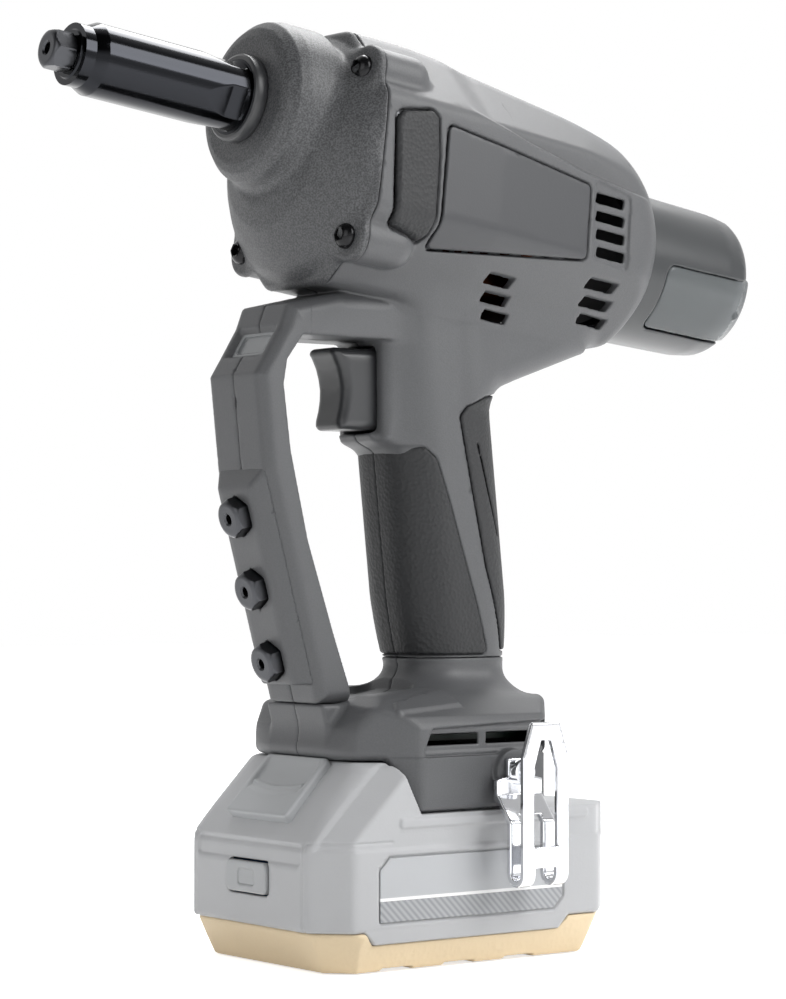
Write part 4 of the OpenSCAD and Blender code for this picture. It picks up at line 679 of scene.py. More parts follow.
def body_field(block, sizes):
    """Half of the housing with its guard, before the halves and the guard are parted."""
    x, y, z = block.half()
    u, v = block.barrel()
    shell = shell_field(block, sizes)
    body = shell
    # Seats of the grip's rubber and the rear strip
    rubber = np.minimum(outline(x, z, GRIP_RUBBER, 1.5), outline(x, z, REAR_RUBBER, 2.0)) - 0.2
    body = body + 0.95 * dent(np.maximum(rubber, z - 170), 0.3)
    for sy, sv in COVER_SCREWS:
        pillar = np.sqrt((y - sy) ** 2 + (v - sv) ** 2 + np.maximum(u - 37, 0) ** 2) - SCREW_PILLAR_R
        body = either(body, pillar, 1.5)
    cheeks = both(outline(x, z, CHEEKS, 1.5), y - 12, 3.0)
    lip = both(outline(x, z, TRIGGER_LIP, 0.6), y - 8.5, 1.5)
    body = either(either(body, cheeks, 5.0), lip, 2.0)
    guard = guard_field(x, y, z, sizes)
    body = either(body, guard, 2.0)
    body = np.maximum(body, -shell - sizes.wall)
    # Room for the front cover, the foot and the trigger
    body = without(body, both(u - SEAM_U - SEAM_GAP, BARREL_LOW - SEAM_GAP - v), 0.4)
    body = without(body, both(z - COLLAR_TOP - 0.1, -14 - x), 0.3)
    pocket = both(outline(x, z, TRIGGER_ROOM), y - 7.9, 2.0)
    body = without(body, pocket, 0.4)
    # Vents, with a shallow frame round the upper rear row, whose top slot is blind
    body = body + 0.8 * dent(np.maximum(outline(u, v, VENT_FRAME, 1.0), 20 - y))
    for start, top, count, length, shift, drop in VENT_ROWS:
        for k in range(count):
            u0, v0 = start + shift * k, top - drop * k
            top_edge = [(u0 + VENT_SLANT, v0), (u0 + length + VENT_SLANT, v0)]
            low_edge = [(u0 + length, v0 - VENT_HEIGHT), (u0, v0 - VENT_HEIGHT)]
            reach = VENT_REACH if k or count == 3 else BLIND_REACH
            body = without(body, both(outline(u, v, top_edge + low_edge, 0.4), reach - y), 0.35)
    # Seats of the side pad and the badge plate
    near = (y > 20) * (np.abs(body) < 4)
    seats = np.minimum(outline(u, v, SIDE_PAD, 2.0) - 0.7, outline(u, v, BADGE, 1.5) - 0.5)
    body = body + near * 1.3 * dent(seats, 0.4)
    # The lamp's bevelled recess in the guard
    out, up = slanted(block, LAMP_PLACE, LAMP_LEAN)
    slope = 0.85 * np.clip(out + 2.2, 0, 3)
    recess = both(both(np.abs(up) - 3.4 - slope, y - 7.6 - slope, 0.8), -2.2 - out)
    body = without(body, both(recess, out - 6), 0.3)
    # The collector's mouth at the rear
    return without(body, both(np.hypot(y, v + MOUTH_DROP) - MOUTH_R, MOUTH_FRONT - u), 0.3)


class RIVET_OT_housing(bpy.types.Operator):
    """Moulds both housing halves and the guard"""

    bl_idname = "rivet.housing"
    bl_label = "Housing"

    def execute(self, context):
        sizes = context.scene.rivet_housing
        block = Block((-62, -39, 72), (87, 0.9, 274), sizes.step)
        field = body_field(block, sizes)
        x, y, z = block.x, block.y, block.z
        u, v = block.barrel()
        room = outline(x, z, GUARD_ROOM)
        parted = both(field, y + SEAM_GAP, 0.3)
        # The guard runs on a little way under the halves, so that no gap shows
        guard = np.maximum(parted + 0.12 * (room > 0), room - 1.2)
        half = np.maximum(parted, -room)
        holes = np.float32(99)
        for su, sv in BARREL_JOINS:
            holes = np.minimum(holes, both(np.hypot(u - su, v - sv) - JOIN_R, JOIN_REACH + y))
        for sx, sz in GRIP_JOINS:
            holes = np.minimum(holes, both(np.hypot(x - sx, z - sz) - JOIN_R, JOIN_REACH + y))
        pierced = without(half, holes + 0 * y, 0.4)
        moulded("housing_left", block, half, "nylon_housing")
        moulded("housing_right", block, pierced, "nylon_housing", mirror="only")
        moulded("trigger_guard", block, guard, "nylon_housing", mirror="also")
        return {"FINISHED"}


class RIVET_OT_cover(bpy.types.Operator):
    """Casts the front cover with its boss and screw lobes"""

    bl_idname = "rivet.cover"
    bl_label = "Front cover"

    def execute(self, context):
        sizes = context.scene.rivet_housing
        block = Block((-1, -38, -53), (26, 38, 27), 0.45, BARREL)
        u, y, v = block.half()
        section = outline(y, v, BARREL_SECTION, sizes.corner)
        dome = outline(np.hypot(y, v + 13), u, COVER_DOME, 3.0)
        cover = both(section, dome, 2.5)
        for sy, sv in COVER_SCREWS:
            lobe = both(np.hypot(y - sy, v - sv) - SCREW_PILLAR_R - 0.4, SCREW_SEAT_U - 0.2 - u, 1.5)
            cover = either(cover, lobe, 3.0)
        cover = either(cover, outline(np.hypot(y, v), u, BOSS, 1.0), 2.5)
        cover = both(cover, u - SEAM_U + SEAM_GAP, 0.5)
        cover = np.maximum(cover, -(both(section, dome) + 3.0))
        cover = without(cover, np.hypot(y, v) - 10.25 + 0 * u, 0.3)
        moulded("front_cover", block, cover, "cover_casting")
        return {"FINISHED"}


class RIVET_OT_nose(bpy.types.Operator):
    """Turns the nose sleeve, its ring and the nozzle"""

    bl_idname = "rivet.nose"
    bl_label = "Nose"

    def execute(self, context):
        turns = np.linspace(0, 2 * math.pi, 192, endpoint=False)
        outer = [(SLEEVE_FRONT, 4.0), (SLEEVE_FRONT, 6.6), (-57.5, 7.1)]
        outer += [(u, SLEEVE_R) for u in (-51, -50.6, -40, -30, *np.linspace(-20, -4.2, 40))]
        outer += [(-4.1, 10.9), (-3.4, 11.1), (-3, SLEEVE_R), (8, SLEEVE_R)]
        inner = [(8, SLEEVE_BORE), (-57.5, SLEEVE_BORE), (-57.6, 4.0)]
        rings = []
        for u, radius in outer:
            if -19 < u < -5 and radius > 10:
                flat = 9.1 + 1.1 * np.clip((-10 - u) / 8, 0, 1)
                radius = np.minimum(radius, flats_round(turns + 0.4, 2 * flat, 4))
            rings.append(ring(u, radius, turns))
        rings += turned(inner, turns)
        piece(tube("nose_sleeve", rings, BARREL), "blackened_steel", "tool", "nose_sleeve")
        band = [(-4, 10.3), (-4, 11.8), (-3.6, 12.4), (-3, 12.6), (-0.6, 12.6), (-0.02, 12.2), (-0.02, 10.3)]
        piece(tube("nose_ring", turned(band, turns), BARREL), "black_plastic", "tool", "nose_ring")
        tip = BARREL @ Matrix.Translation((SLEEVE_FRONT - 0.02, 0, 0))
        piece(nozzle_mesh("nozzle", NOZZLE_BORE, tip), "dark_steel", "tool", "nozzle")
        return {"FINISHED"}


def nozzle_mesh(name, bore, place, twist=0.0):
    """A hexagon nozzle with a turned front chamfer, a collar and a shank into its hole."""
    turns = np.linspace(0, 2 * math.pi, 144, endpoint=False)
    flats = flats_round(turns + twist, NOZZLE_ACROSS)
    rings = turned([(-7, bore + 0.5), (-7, 3.9)], turns)
    for back in np.linspace(0, 1, 9):
        rings.append(ring(-7 + 1.9 * back ** 1.6, np.minimum(flats, 3.9 + 2.1 * back ** 0.7), turns))
    rings += [ring(-0.7, flats, turns), ring(-0.1, np.minimum(flats, 5.2), turns)]
    shank = ((0, 3.9), (6.4, 3.9), (6.4, bore), (-6.5, bore))
    rings += turned(shank, turns)
    return tube(name, rings, place)


def guard_face(z):
    """The guard's front at a height over its straight lower run."""
    (x1, z1), (x0, z0) = GUARD_FRONT[5], GUARD_FRONT[6]
    return x0 + (z - z0) * (x1 - x0) / (z1 - z0)


def copies(name, mesh, places, slot):
    """Copies of a mesh at places given as matrices in millimetres, by Geometry Nodes, as one mesh."""
    points = bpy.data.meshes.new(name + "_places")
    points.from_pydata([place.translation * MM for place in places], [], [])
    turns = points.attributes.new("turn", "FLOAT_VECTOR", "POINT")
    turns.data.foreach_set("vector", [angle for place in places for angle in place.to_euler()])
    source = bpy.data.objects.new(name + "_source", mesh)
    holder = bpy.data.objects.new(name + "_holder", points)
    bpy.context.collection.objects.link(source)
    bpy.context.collection.objects.link(holder)
    tree = bpy.data.node_groups.new(name + "_copies", "GeometryNodeTree")
    tree.interface.new_socket("Geometry", in_out="INPUT", socket_type="NodeSocketGeometry")
    tree.interface.new_socket("Piece", in_out="INPUT", socket_type="NodeSocketObject")
    tree.interface.new_socket("Finish", in_out="INPUT", socket_type="NodeSocketMaterial")
    tree.interface.new_socket("Geometry", in_out="OUTPUT", socket_type="NodeSocketGeometry")
    given = add_node(tree, "NodeGroupInput")
    turn = add_node(tree, "GeometryNodeInputNamedAttribute", {"data_type": "FLOAT_VECTOR"}, Name="turn")
    info = add_node(tree, "GeometryNodeObjectInfo", Object=given.outputs["Piece"])
    spread = add_node(tree, "GeometryNodeInstanceOnPoints", Points=given.outputs["Geometry"],
                      Instance=info.outputs["Geometry"], Rotation=turn.outputs["Attribute"])
    real = add_node(tree, "GeometryNodeRealizeInstances", Geometry=spread.outputs["Instances"])
    coat = add_node(tree, "GeometryNodeSetMaterial", Geometry=real.outputs["Geometry"],
                    Material=given.outputs["Finish"])
    end = add_node(tree, "NodeGroupOutput")
    tree.links.new(coat.outputs["Geometry"], end.inputs["Geometry"])
    modifier = holder.modifiers.new("copies", "NODES")
    modifier.node_group = tree
    ids = {item.name: item.identifier for item in tree.interface.items_tree if item.in_out == "INPUT"}
    modifier[ids["Piece"]] = source
    modifier[ids["Finish"]] = FINISH[slot]
    graph = bpy.context.evaluated_depsgraph_get()
    made = bpy.data.meshes.new_from_object(holder.evaluated_get(graph), depsgraph=graph)
    made.name = name
    made.materials.clear()
    bpy.data.objects.remove(holder)
    bpy.data.objects.remove(source)
    return made


class RIVET_OT_collector(bpy.types.Operator):
    """Moulds the collector's shroud and its clear bottle"""

    bl_idname = "rivet.collector"
    bl_label = "Collector"

    def execute(self, context):
        block = Block((136, -27, -48), (185, 27, 6.6), 0.4, BARREL)
        u, y, w = block.x, block.y, block.z + COLLECTOR_DROP
        cone = np.hypot(y, w) - along(u, COLLECTOR_LINE)
        window, panel = np.float32(99), np.float32(99)
        for k in range(3):
            a = 2 * math.pi * k / 3
            out, across = y * math.sin(a) + w * math.cos(a), np.abs(y * math.cos(a) - w * math.sin(a))
            opening = both(across - WINDOW_HALF, WINDOW_FRONT - u, 3.5)
            window = np.minimum(window, np.maximum(opening, -out))
            fill = both(across - WINDOW_HALF + 0.4, WINDOW_FRONT + 0.4 - u, 3.2)
            panel = np.minimum(panel, np.maximum(fill, -out))
        shroud = both(both(cone, u - SHROUD_END, 1.2), REAR_U + 0.1 - u, 0.4)
        shroud = np.maximum(shroud, -(cone + 2.0))
        shroud = without(shroud, window, 0.3)
        moulded("collector_shroud", block, shroud, "shroud_plastic", "collector")
        bottle = either(cone + 2.6, both(cone + 0.3, panel, 0.7), 0.4)
        bottle = both(bottle, u - BOTTLE_END, 2.0)
        pip_u, pip_out, a = PIP_PLACE
        aside = np.hypot(y - pip_out * math.sin(a), w - pip_out * math.cos(a))
        bottle = either(bottle, np.hypot(u - pip_u, aside) - 1.5, 0.4)
        inside = both(cone + 4.2, u - BOTTLE_END + 1.8, 1.5)
        bottle = np.maximum(np.maximum(bottle, -inside), REAR_U + 1 - u)
        moulded("collector_bottle", block, bottle, "clear_plastic", "collector")
        return {"FINISHED"}


class RIVET_OT_grip(bpy.types.Operator):
    """Moulds the grip's rubber, the rear strip, the side pads, the badge plates and the trigger"""

    bl_idname = "rivet.grip"
    bl_label = "Grip and skins"

    def execute(self, context):
        sizes = context.scene.rivet_housing
        block = Block((-12, -19, 85), (30, 0.9, 149), 0.4)
        x, y, z = block.half()
        grip = grip_field(x, y, z)
        coat = both(grip - RUBBER_OUT, outline(x, z, GRIP_RUBBER, 1.5), 0.8)
        coat = both(np.maximum(coat, -grip - RUBBER_IN), block.y + SEAM_GAP, 0.3)
        sx, sz = GRIP_JOINS[1]
        pierced = without(coat, np.hypot(x - sx, z - sz) - JOIN_R + 0 * y, 0.4)
        moulded("grip_rubber_left", block, coat, "black_rubber")
        moulded("grip_rubber_right", block, pierced, "black_rubber", mirror="only")
        block = Block((6, -19.5, 86), (45, 19.5, 168), 0.45)
        x, y, z = block.x, block.y, block.z
        shell = shell_field(block, sizes)
        strip = both(shell - RUBBER_OUT, outline(x, z, REAR_RUBBER, 2.0), 0.8)
        strip = np.maximum(strip, -shell - RUBBER_IN)
        strip = strip + 0.6 * dent(trail(x, z, STRIP_GROOVE) - 0.4, 0.5)
        moulded("rear_rubber", block, strip, "black_rubber")
        block = Block((26, -38, -41), (106, -24, 4), 0.35, BARREL)
        u, y, v = block.x, -block.y, block.z
        side = side_field(y, u, v, sizes)
        pad = np.maximum(both(outline(u, v, SIDE_PAD, 2.0), side - PAD_OUT, 1.4), -side - PLATE_IN)
        moulded("side_pads", block, pad, "black_rubber", mirror="also")
        plate = np.maximum(both(outline(u, v, BADGE, 1.5), side - BADGE_OUT, 0.4), -side - PLATE_IN)
        moulded("side_badges", block, plate, "badge_plastic", mirror="also")
        block = Block((-31, -8.5, 151), (-7, 8.5, 177), 0.3)
        x, y, z = block.half()
        lever = both(outline(x, z, TRIGGER, 1.4), y - 7.4, 3.0)
        moulded("trigger", block, lever, "black_plastic", "trigger")
        return {"FINISHED"}


class RIVET_OT_guard_parts(bpy.types.Operator):
    """Makes the lamp's lens, the guard's pad and the spare nozzles"""

    bl_idname = "rivet.guard_parts"
    bl_label = "Guard parts"

    def execute(self, context):
        block = Block((-60, -10, 168), (-44, 10, 186), 0.3)
        x, y, z = block.half()
        out, up = slanted(block, LAMP_PLACE, LAMP_LEAN)
        lens = both(both(np.abs(up) - 4.2, y - 8.4, 0.8), span(out, -4.2, -1.4), 0.4)
        lens = without(lens, both(both(np.abs(up) - 2.9, y - 6.6, 0.6), -2.1 - out), 0.3)
        moulded("lamp_lens", block, lens, "frosted_lens")
        block = Block((-64, -12.5, 78), (-36, 12.5, 142), 0.35)
        x, y, z = block.half()
        out = (guard_face(z) - x) * math.cos(GUARD_LEAN)
        pad = both(out - GUARD_PAD_THICK, (out - 0.8 * (GUARD_PAD_TOP - z)) * 0.78, 1.0)
        pad = both(pad, (y - 11.6 + 0.85 * out) * 0.76, 1.2)
        pad = np.maximum(both(pad, GUARD_PAD_LOW - z, 1.0), -out - 0.4)
        for height in SPARE_HEIGHTS:
            along_face = (z - height) / math.cos(GUARD_LEAN) + out * math.tan(GUARD_LEAN)
            pocket = np.maximum(y, 0.5 * y + 0.866 * np.abs(along_face)) - 5.25
            pad = without(pad, both(pocket, 0.6 - out), 0.3)
        moulded("guard_pad", block, pad, "nylon_housing")
        tilt = Matrix.Rotation(-GUARD_LEAN, 4, "Y")
        places = [Matrix.Translation((guard_face(z), 0, z)) @ tilt for z in SPARE_HEIGHTS]
        spare = nozzle_mesh("spare", SPARE_BORE, Matrix.Translation((-1.0, 0, 0)), math.pi / 6)
        spares = copies("spare_nozzles", spare, places, "dark_steel")
        piece(spares, "dark_steel", "tool", "spare_nozzles")
        return {"FINISHED"}


class RIVET_OT_screws(bpy.types.Operator):
    """Sets the cover's four domed screws"""

    bl_idname = "rivet.screws"
    bl_label = "Cover screws"

    def execute(self, context):
        turns = np.linspace(0, 2 * math.pi, 72, endpoint=False)
        socket = flats_round(turns, 3.6)
        rings = [ring(-1.2, 0.02 * socket, turns), ring(-1.2, socket, turns), ring(-3.2, socket, turns)]
        rings.append(ring(-3.3, socket + 0.15, turns))
        for a in np.linspace(0.45, 1.35, 10):
            rings.append(ring(-0.3 - 3.1 * math.cos(a) ** 0.8, 3.85 * math.sin(a), turns))
        rings += turned([(-0.1, 3.8), (0.0, 3.6), (0.0, 0.02)], turns)
        screw = tube("screw", rings, Matrix.Identity(4))
        turn = BARREL.to_3x3().to_4x4()
        places = []
        for sy, sv in COVER_SCREWS:
            for side in (-1, 1):
                spot = BARREL @ Vector((SCREW_SEAT_U, side * sy, sv))
                places.append(Matrix.Translation(spot) @ turn)
        made = copies("cover_screws", screw, places, "black_screw")
        piece(made, "black_screw", "tool", "cover_screws")
        return {"FINISHED"}


def foot_field(block):
    """Half of the foot, from the grip's collar to its skirt over the battery."""
    x, y, z = block.half()
    plan = outline(x, y, FOOT_PLAN, 3.0)
    form = both(both(plan, outline(x, z, FOOT_SIDE, 3.0), 2.5), outline(y, z, FOOT_END, 1.5), 1.5)
    collar = both(grip_field(x, y, np.maximum(z, COLLAR_TOP - 2)) - 0.2, z - COLLAR_TOP + SEAM_GAP, 0.6)
    foot = either(form, np.maximum(collar, 60 - z), 9.0)
    # The hollow top between the guard and the grip, and the raised facet beside it
    hollow = HOLLOW_DEPTH * dent(np.maximum(both(span(x, -25.5, -3), y - 13, 4.0), 73 - z), 0.8)
    foot = foot + hollow
    foot = foot - FACET_RISE * dent(np.maximum(outline(x, y, FOOT_FACET, 1.0), 70 - z), 0.8)
    stub = both(outline(x, z, GUARD_STUB, 0.8), y - GUARD_HALF, 1.2)
    foot = either(foot, stub, 2.0)
    # The side's sunk panel with its sill
    foot = foot + 1.5 * dent(np.maximum(outline(x, z, FOOT_PANEL, 0.5), FOOT_CUT - y), 0.5)
    foot = foot + 0.8 * dent(np.maximum(outline(x, z, FOOT_SILL, 0.5), FOOT_CUT - y), 0.5)
    skirt = np.maximum(both(outline(x, z, SKIRT, 1.0), plan, 0.6), -plan - 3.1)
    foot = either(foot, np.maximum(skirt, z - 59), 0.4)
    foot = np.maximum(foot, -np.maximum(form + hollow + FOOT_WALL, 45 - z))
    for slot in FOOT_SLOTS:
        foot = without(foot, both(outline(x, z, slot, 0.4), FOOT_CUT - y), 0.3)
    return foot


class RIVET_OT_foot(bpy.types.Operator):
    """Moulds the foot's halves and bends the belt hook"""

    bl_idname = "rivet.foot"
    bl_label = "Foot and hook"

    def execute(self, context):
        block = Block((-41, -39, 42), (45, 0.9, 87), 0.4)
        field = foot_field(block)
        x, y, z = block.x, block.y, block.z
        from_screw = np.hypot(x - HOOK_SCREW[0], z - HOOK_SCREW[1])
        boss = both(from_screw - 6.5 + 0 * y, span(y, -38.3, -33), 0.5)
        parted = both(either(field, boss, 0.5), y + SEAM_GAP, 0.3)
        left = without(parted, both(from_screw - 2.1, y + 33), 0.2)
        moulded("foot_left", block, left, "nylon_housing")
        right = without(parted, both(from_screw - 2.02, y + 33), 0.2)
        for sx, sz in FOOT_JOINS:
            right = without(right, both(np.hypot(x - sx, z - sz) - JOIN_R, y + JOIN_REACH), 0.4)
        moulded("foot_right", block, right, "nylon_housing", mirror="only")
        block = Block((3.5, -53, 21.5), (22.5, -37.8, 70), 0.25)
        x, y, z = block.x - HOOK_SCREW[0], block.y, block.z
        bend_y, bend_z = HOOK_BEND
        turns = [math.pi * k / 12 for k in range(13)]
        bend = [(bend_y + HOOK_BEND_R * math.cos(a), bend_z - HOOK_BEND_R * math.sin(a)) for a in turns]
        path = [(-39.32, 58), (-39.32, 47.5), (-45.2, 40)] + bend + [(-51.1, 68)]
        strip = trail(y, z, path) - HOOK_THICK / 2
        slot = np.abs(x) - HOOK_SLOT_HALF
        opening = np.minimum(outline(x, z, HOOK_WINDOW, 0.5), np.maximum(slot, z - 27.6))
        outer = without(outline(x, z, HOOK_OUTER, 0.6), opening, 0.3)
        inner = without(outline(x, z, HOOK_INNER), np.maximum(slot, z - 42), 0.3)
        inner = without(inner, np.hypot(x, z - HOOK_SCREW[1]) - 2.1)
        hook = both(strip, np.where(y < bend_y, outer, inner), 0.4)
        moulded("belt_hook", block, hook, "chrome_steel")
        return {"FINISHED"}


def battery_case():
    """The battery's case with its facets, bands and seats."""
    block = Block((-55, -39, 7.2), (55, 39, 58.6), 0.5)
    x, y, z = block.half()
    plan = outline(x, y, BATTERY_PLAN, 3.0)
    solid = both(plan, outline(x, z, BATTERY_SIDE, 1.5), 1.2)
    corner = ((y - x) * math.sqrt(0.5) - 58.3 + 0.72 * np.maximum(z - 36, 0)) * 0.81
    solid = both(solid, corner, 1.5)
    tongue = both(outline(x, z, BATTERY_TONGUE), span(y, 34.5, BATTERY_HALF), 0.3)
    case = either(solid, tongue)
    # Sunk upper sides with a long rib, and room for the foot's skirts
    case = case + 0.7 * dent(np.maximum(span(z, 34.2, 60), 30 - y))
    rib = both(outline(x, z, CASE_RIB, 1.3), span(y, 34, BATTERY_HALF), 0.8)
    case = either(case, rib, 0.3)
    room = [(px - 0.5, pz - 0.6) for px, pz in SKIRT[:5]] + [(60, SKIRT[4][1] - 0.6), (60, 60)]
    inside = outline(x, y, FOOT_PLAN, 3.0) + 3.5
    case = without(case, np.maximum(outline(x, z, room), -inside), 0.5)
    # The front's sunk band, its corner columns and the knit line round its corners
    case = case + 0.9 * dent(np.maximum(both(span(z, 29.8, 35.6), y - 25.5, 1.5), x + 46))
    case = case + 0.5 * dent(np.maximum(span(y, 26.4, 27.1), np.maximum(x + 50, z - 36)), 0.4)
    case = case + 0.5 * dent(np.maximum(span(z, 35.9, 36.5), np.maximum(x + 30, 27 - y)), 0.4)
    case = np.maximum(case, -np.maximum(solid + CASE_WALL, z - 40.5))
    seat = both(outline(x, z, LABEL, 0.5) - 0.4, 37.2 - y)
    case = without(case, seat, 0.3)
    out, up = slanted(block, LATCH_PLACE, LATCH_LEAN)
    scoop = both(both(np.abs(up + 1) - 11.6, y - 15.5, 2.0), -1.2 - out)
    case = without(case, scoop, 0.6)
    gauge = both(both(np.abs(z - GAUGE_Z) - 4.9, y - 10.4, 2.0), x + 51)
    case = without(case, gauge, 0.4)
    moulded("battery_case", block, case, "battery_grey", "battery")


def battery_tray():
    """The battery's base, drawn in downwards, with notches under its sides."""
    block = Block((-55, -39, -0.6), (55, 39, 12.2), 0.4)
    x, y, z = block.half()
    drawn_in = 0.43 * np.maximum(10.5 - z, 0)
    plan = (outline(x, y, TRAY_PLAN, 3.0) + drawn_in) * 0.92
    tray = both(both(plan, -z, 1.0), z - 11.5, 0.5)
    tray = np.maximum(tray, -np.maximum(plan + 4.4, 3.5 - z))
    tray = without(tray, both(outline(x, z, BATTERY_TONGUE) - 0.15, 34.3 - y), 0.2)
    for notch in TRAY_NOTCHES:
        tray = without(tray, both(both(np.abs(x - notch) - 5.5, z - 0.9), 27 - y), 0.3)
    moulded("battery_tray", block, tray, "battery_tan", "battery")


def battery_latch():
    """The latch on the front slope, with a scooped face and two ridges."""
    block = Block((-56, -16, 38), (-32, 16, 62), 0.3)
    y = np.abs(block.y)
    out, up = slanted(block, LATCH_PLACE, LATCH_LEAN)
    button = both(both(np.abs(up + 1) - 11, y - 15, 1.5), span(out, -3, 1), 0.8)
    scoop = np.sqrt((up - 3) ** 2 + (out - 15) ** 2) - 15.2
    button = without(button, both(scoop, y - 12.8, 1.0), 0.6)
    for place in (-2.0, -5.0):
        ridge = both(np.hypot(up - place - 0.012 * y * y, out - 0.1) - 0.9, y - 12, 0.4)
        button = either(button, ridge, 0.4)
    moulded("battery_latch", block, button, "latch_grey", "latch")


def gauge_button():
    """The gauge's button with a plain sunk field."""
    block = Block((-55.2, -11, 19.5), (-51, 11, 30.5), 0.25)
    x, y, z = block.half()
    button = both(both(np.abs(z - GAUGE_Z) - 4.4, y - 9.9, 1.8), span(x, -54.4, -52), 0.5)
    mark = both(both(np.abs(z - GAUGE_Z) - 2.2, y - 4, 0.8), x + 54.0)
    button = without(button, mark, 0.2)
    moulded("gauge_button", block, button, "latch_grey", "gauge")


def battery_plates():
    """The film on both sides of the case."""
    block = Block((-36, -38.6, 13), (32, -36.5, 33), 0.25)
    x, y, z = block.x, -block.y, block.z
    plate = both(outline(x, z, LABEL, 0.5), span(y, 37.25, 37.85), 0.15)
    moulded("battery_plates", block, plate, "label_film", "battery", mirror="also")


class RIVET_OT_battery(bpy.types.Operator):
    """Moulds the battery's case, base, latch, gauge button and side plates"""

    bl_idname = "rivet.battery"
    bl_label = "Battery"

    def execute(self, context):
        battery_case()
        battery_tray()
        battery_latch()
        gauge_button()
        battery_plates()
        return {"FINISHED"}


def place_camera(scene, sizes):
    """The camera at the photo's viewing angle."""
    data = bpy.data.cameras.new("camera")
    data.lens = sizes.lens
    data.sensor_width = 36.0
    camera = bpy.data.objects.new("camera", data)
    camera.location = sizes.camera
    camera.rotation_euler = Euler((math.pi / 2 + sizes.pitch, 0, sizes.heading))
    scene.collection.objects.link(camera)
    scene.camera = camera


def pale_floor(scene):
    """A floor that glows where it is seen, and otherwise only throws back the light that falls on it."""
    floor = bpy.data.meshes.new("floor")
    floor.from_pydata([(-3, -3, 0), (3, -3, 0), (3, 3, 0), (-3, 3, 0)], [], [(0, 1, 2, 3)])
    ground = bpy.data.objects.new("floor", floor)
    ground.location.z = -FLOOR_GAP * MM
    scene.collection.objects.link(ground)
    white, tree, shader = new_material("pale floor", "#ffffff", 0.9)
    glow = add_node(tree, "ShaderNodeMath", {"operation": "MULTIPLY"}, (seen_directly(tree), FLOOR_GLOW))
    shader.inputs["Emission Color"].default_value = WHITE
    tree.links.new(glow.outputs[0], shader.inputs["Emission Strength"])
    floor.materials.append(white)
    return ground


def area_light(scene, name, place, size, power):
    """A square light that faces the tool's middle."""
    lamp = bpy.data.lights.new(name, "AREA")
    lamp.energy, lamp.size = power, size
    made = bpy.data.objects.new(name, lamp)
    made.location = place
    made.rotation_euler = (TOOL_MIDDLE - Vector(place)).to_track_quat("-Z", "Y").to_euler()
    scene.collection.objects.link(made)
    return made


def white_room(scene, sizes):
    """A white background with soft light, and a dim studio that polished metal mirrors."""
    world = bpy.data.worlds.new("white room")
    world.use_nodes = True
    scene.world = world
    tree = world.node_tree
    tree.nodes.clear()
    soft = add_node(tree, "ShaderNodeBackground", Color=WHITE, Strength=sizes.room).outputs[0]
    bright = add_node(tree, "ShaderNodeBackground", Color=WHITE, Strength=1.0).outputs[0]
    plain = add_node(tree, "ShaderNodeMixShader", None, (seen_directly(tree), soft, bright)).outputs[0]
    # The studio is bright ahead of the camera and round the horizon, and dim above and below behind it
    place = add_node(tree, "ShaderNodeTexCoord").outputs["Generated"]
    toward = add_node(tree, "ShaderNodeVectorMath", {"operation": "DOT_PRODUCT"}, (place, (0.6, 0.8, 0.0)))
    ahead = add_node(tree, "ShaderNodeMapRange", Value=toward.outputs["Value"], From_Min=-0.1, From_Max=0.4)
    rise = add_node(tree, "ShaderNodeSeparateXYZ", Vector=place).outputs["Z"]
    height = add_node(tree, "ShaderNodeMath", {"operation": "ABSOLUTE"}, (rise,)).outputs[0]
    level = add_node(tree, "ShaderNodeMapRange", Value=height, From_Min=0.16, From_Max=0.42, To_Min=0.9,
                     To_Max=0.06)
    strongest = (ahead.outputs[0], level.outputs[0])
    shine = add_node(tree, "ShaderNodeMath", {"operation": "MAXIMUM"}, strongest).outputs[0]
    studio = add_node(tree, "ShaderNodeBackground", Color=WHITE, Strength=shine).outputs[0]
    mirrors = add_node(tree, "ShaderNodeLightPath").outputs["Is Glossy Ray"]
    whole = add_node(tree, "ShaderNodeMixShader", None, (mirrors, plain, studio))
    add_node(tree, "ShaderNodeOutputWorld", Surface=whole.outputs[0])


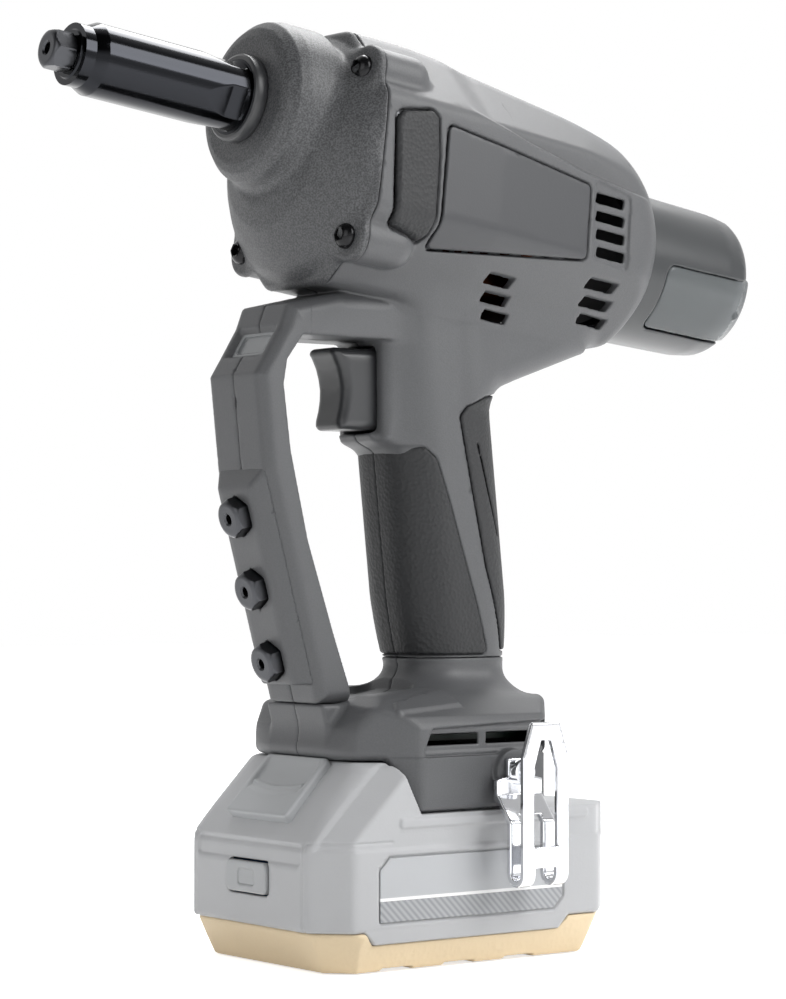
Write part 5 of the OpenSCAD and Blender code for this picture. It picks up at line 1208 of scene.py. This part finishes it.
class RIVET_OT_stage(bpy.types.Operator):
    """Sets the camera, the lights and the pale floor"""

    bl_idname = "rivet.stage"
    bl_label = "Stage"

    def execute(self, context):
        scene, sizes = context.scene, context.scene.rivet_stage
        place_camera(scene, sizes)
        lights = [
            pale_floor(scene),
            area_light(scene, "key", (0.45, -0.75, 0.7), 0.6, sizes.key),
            area_light(scene, "fill", (-0.9, -0.25, 0.5), 0.6, sizes.fill),
            area_light(scene, "top", (0.4, 0.3, 0.95), 0.55, sizes.top),
        ]
        white_room(scene, sizes)
        scene.view_settings.view_transform = "Standard"
        return {"FINISHED"}


class RIVET_PT_panel(bpy.types.Panel):
    """Sizes and buttons in the sidebar"""

    bl_label = "Rivet Tool"
    bl_idname = "RIVET_PT_panel"
    bl_space_type = "VIEW_3D"
    bl_region_type = "UI"
    bl_category = "Rivet Tool"

    def draw(self, context):
        layout = self.layout
        for group in (context.scene.rivet_housing, context.scene.rivet_stage):
            box = layout.box()
            for key in group.__annotations__:
                box.prop(group, key)
        for operator in OPERATORS:
            layout.operator(operator.bl_idname)


OPERATORS = [
    RIVET_OT_housing, RIVET_OT_cover, RIVET_OT_nose, RIVET_OT_collector, RIVET_OT_grip,
    RIVET_OT_guard_parts, RIVET_OT_screws, RIVET_OT_foot, RIVET_OT_battery, RIVET_OT_stage,
]
CLASSES = [HousingSizes, StageSizes, *OPERATORS, RIVET_PT_panel]


def register():
    """Makes the classes and their sizes known to Blender."""
    for item in CLASSES:
        bpy.utils.register_class(item)
    bpy.types.Scene.rivet_housing = PointerProperty(type=HousingSizes)
    bpy.types.Scene.rivet_stage = PointerProperty(type=StageSizes)


def unregister():
    """Takes them away again."""
    del bpy.types.Scene.rivet_housing
    del bpy.types.Scene.rivet_stage
    for item in reversed(CLASSES):
        bpy.utils.unregister_class(item)


def main():
    """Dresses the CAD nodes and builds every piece."""
    register()
    FINISH.update(make_materials())
    slots = {row["node"]: row["material_slot"] for row in frame["record"]["subparts"]}
    for name, node in frame["nodes"].items():
        node.data.materials.clear()
        node.data.materials.append(FINISH[slots[name]])
    bpy.ops.rivet.housing()
    bpy.ops.rivet.cover()
    bpy.ops.rivet.nose()
    bpy.ops.rivet.collector()
    bpy.ops.rivet.grip()
    bpy.ops.rivet.guard_parts()
    bpy.ops.rivet.screws()
    bpy.ops.rivet.foot()
    bpy.ops.rivet.battery()
    bpy.ops.rivet.stage()


if __name__ == "__main__":
    main()
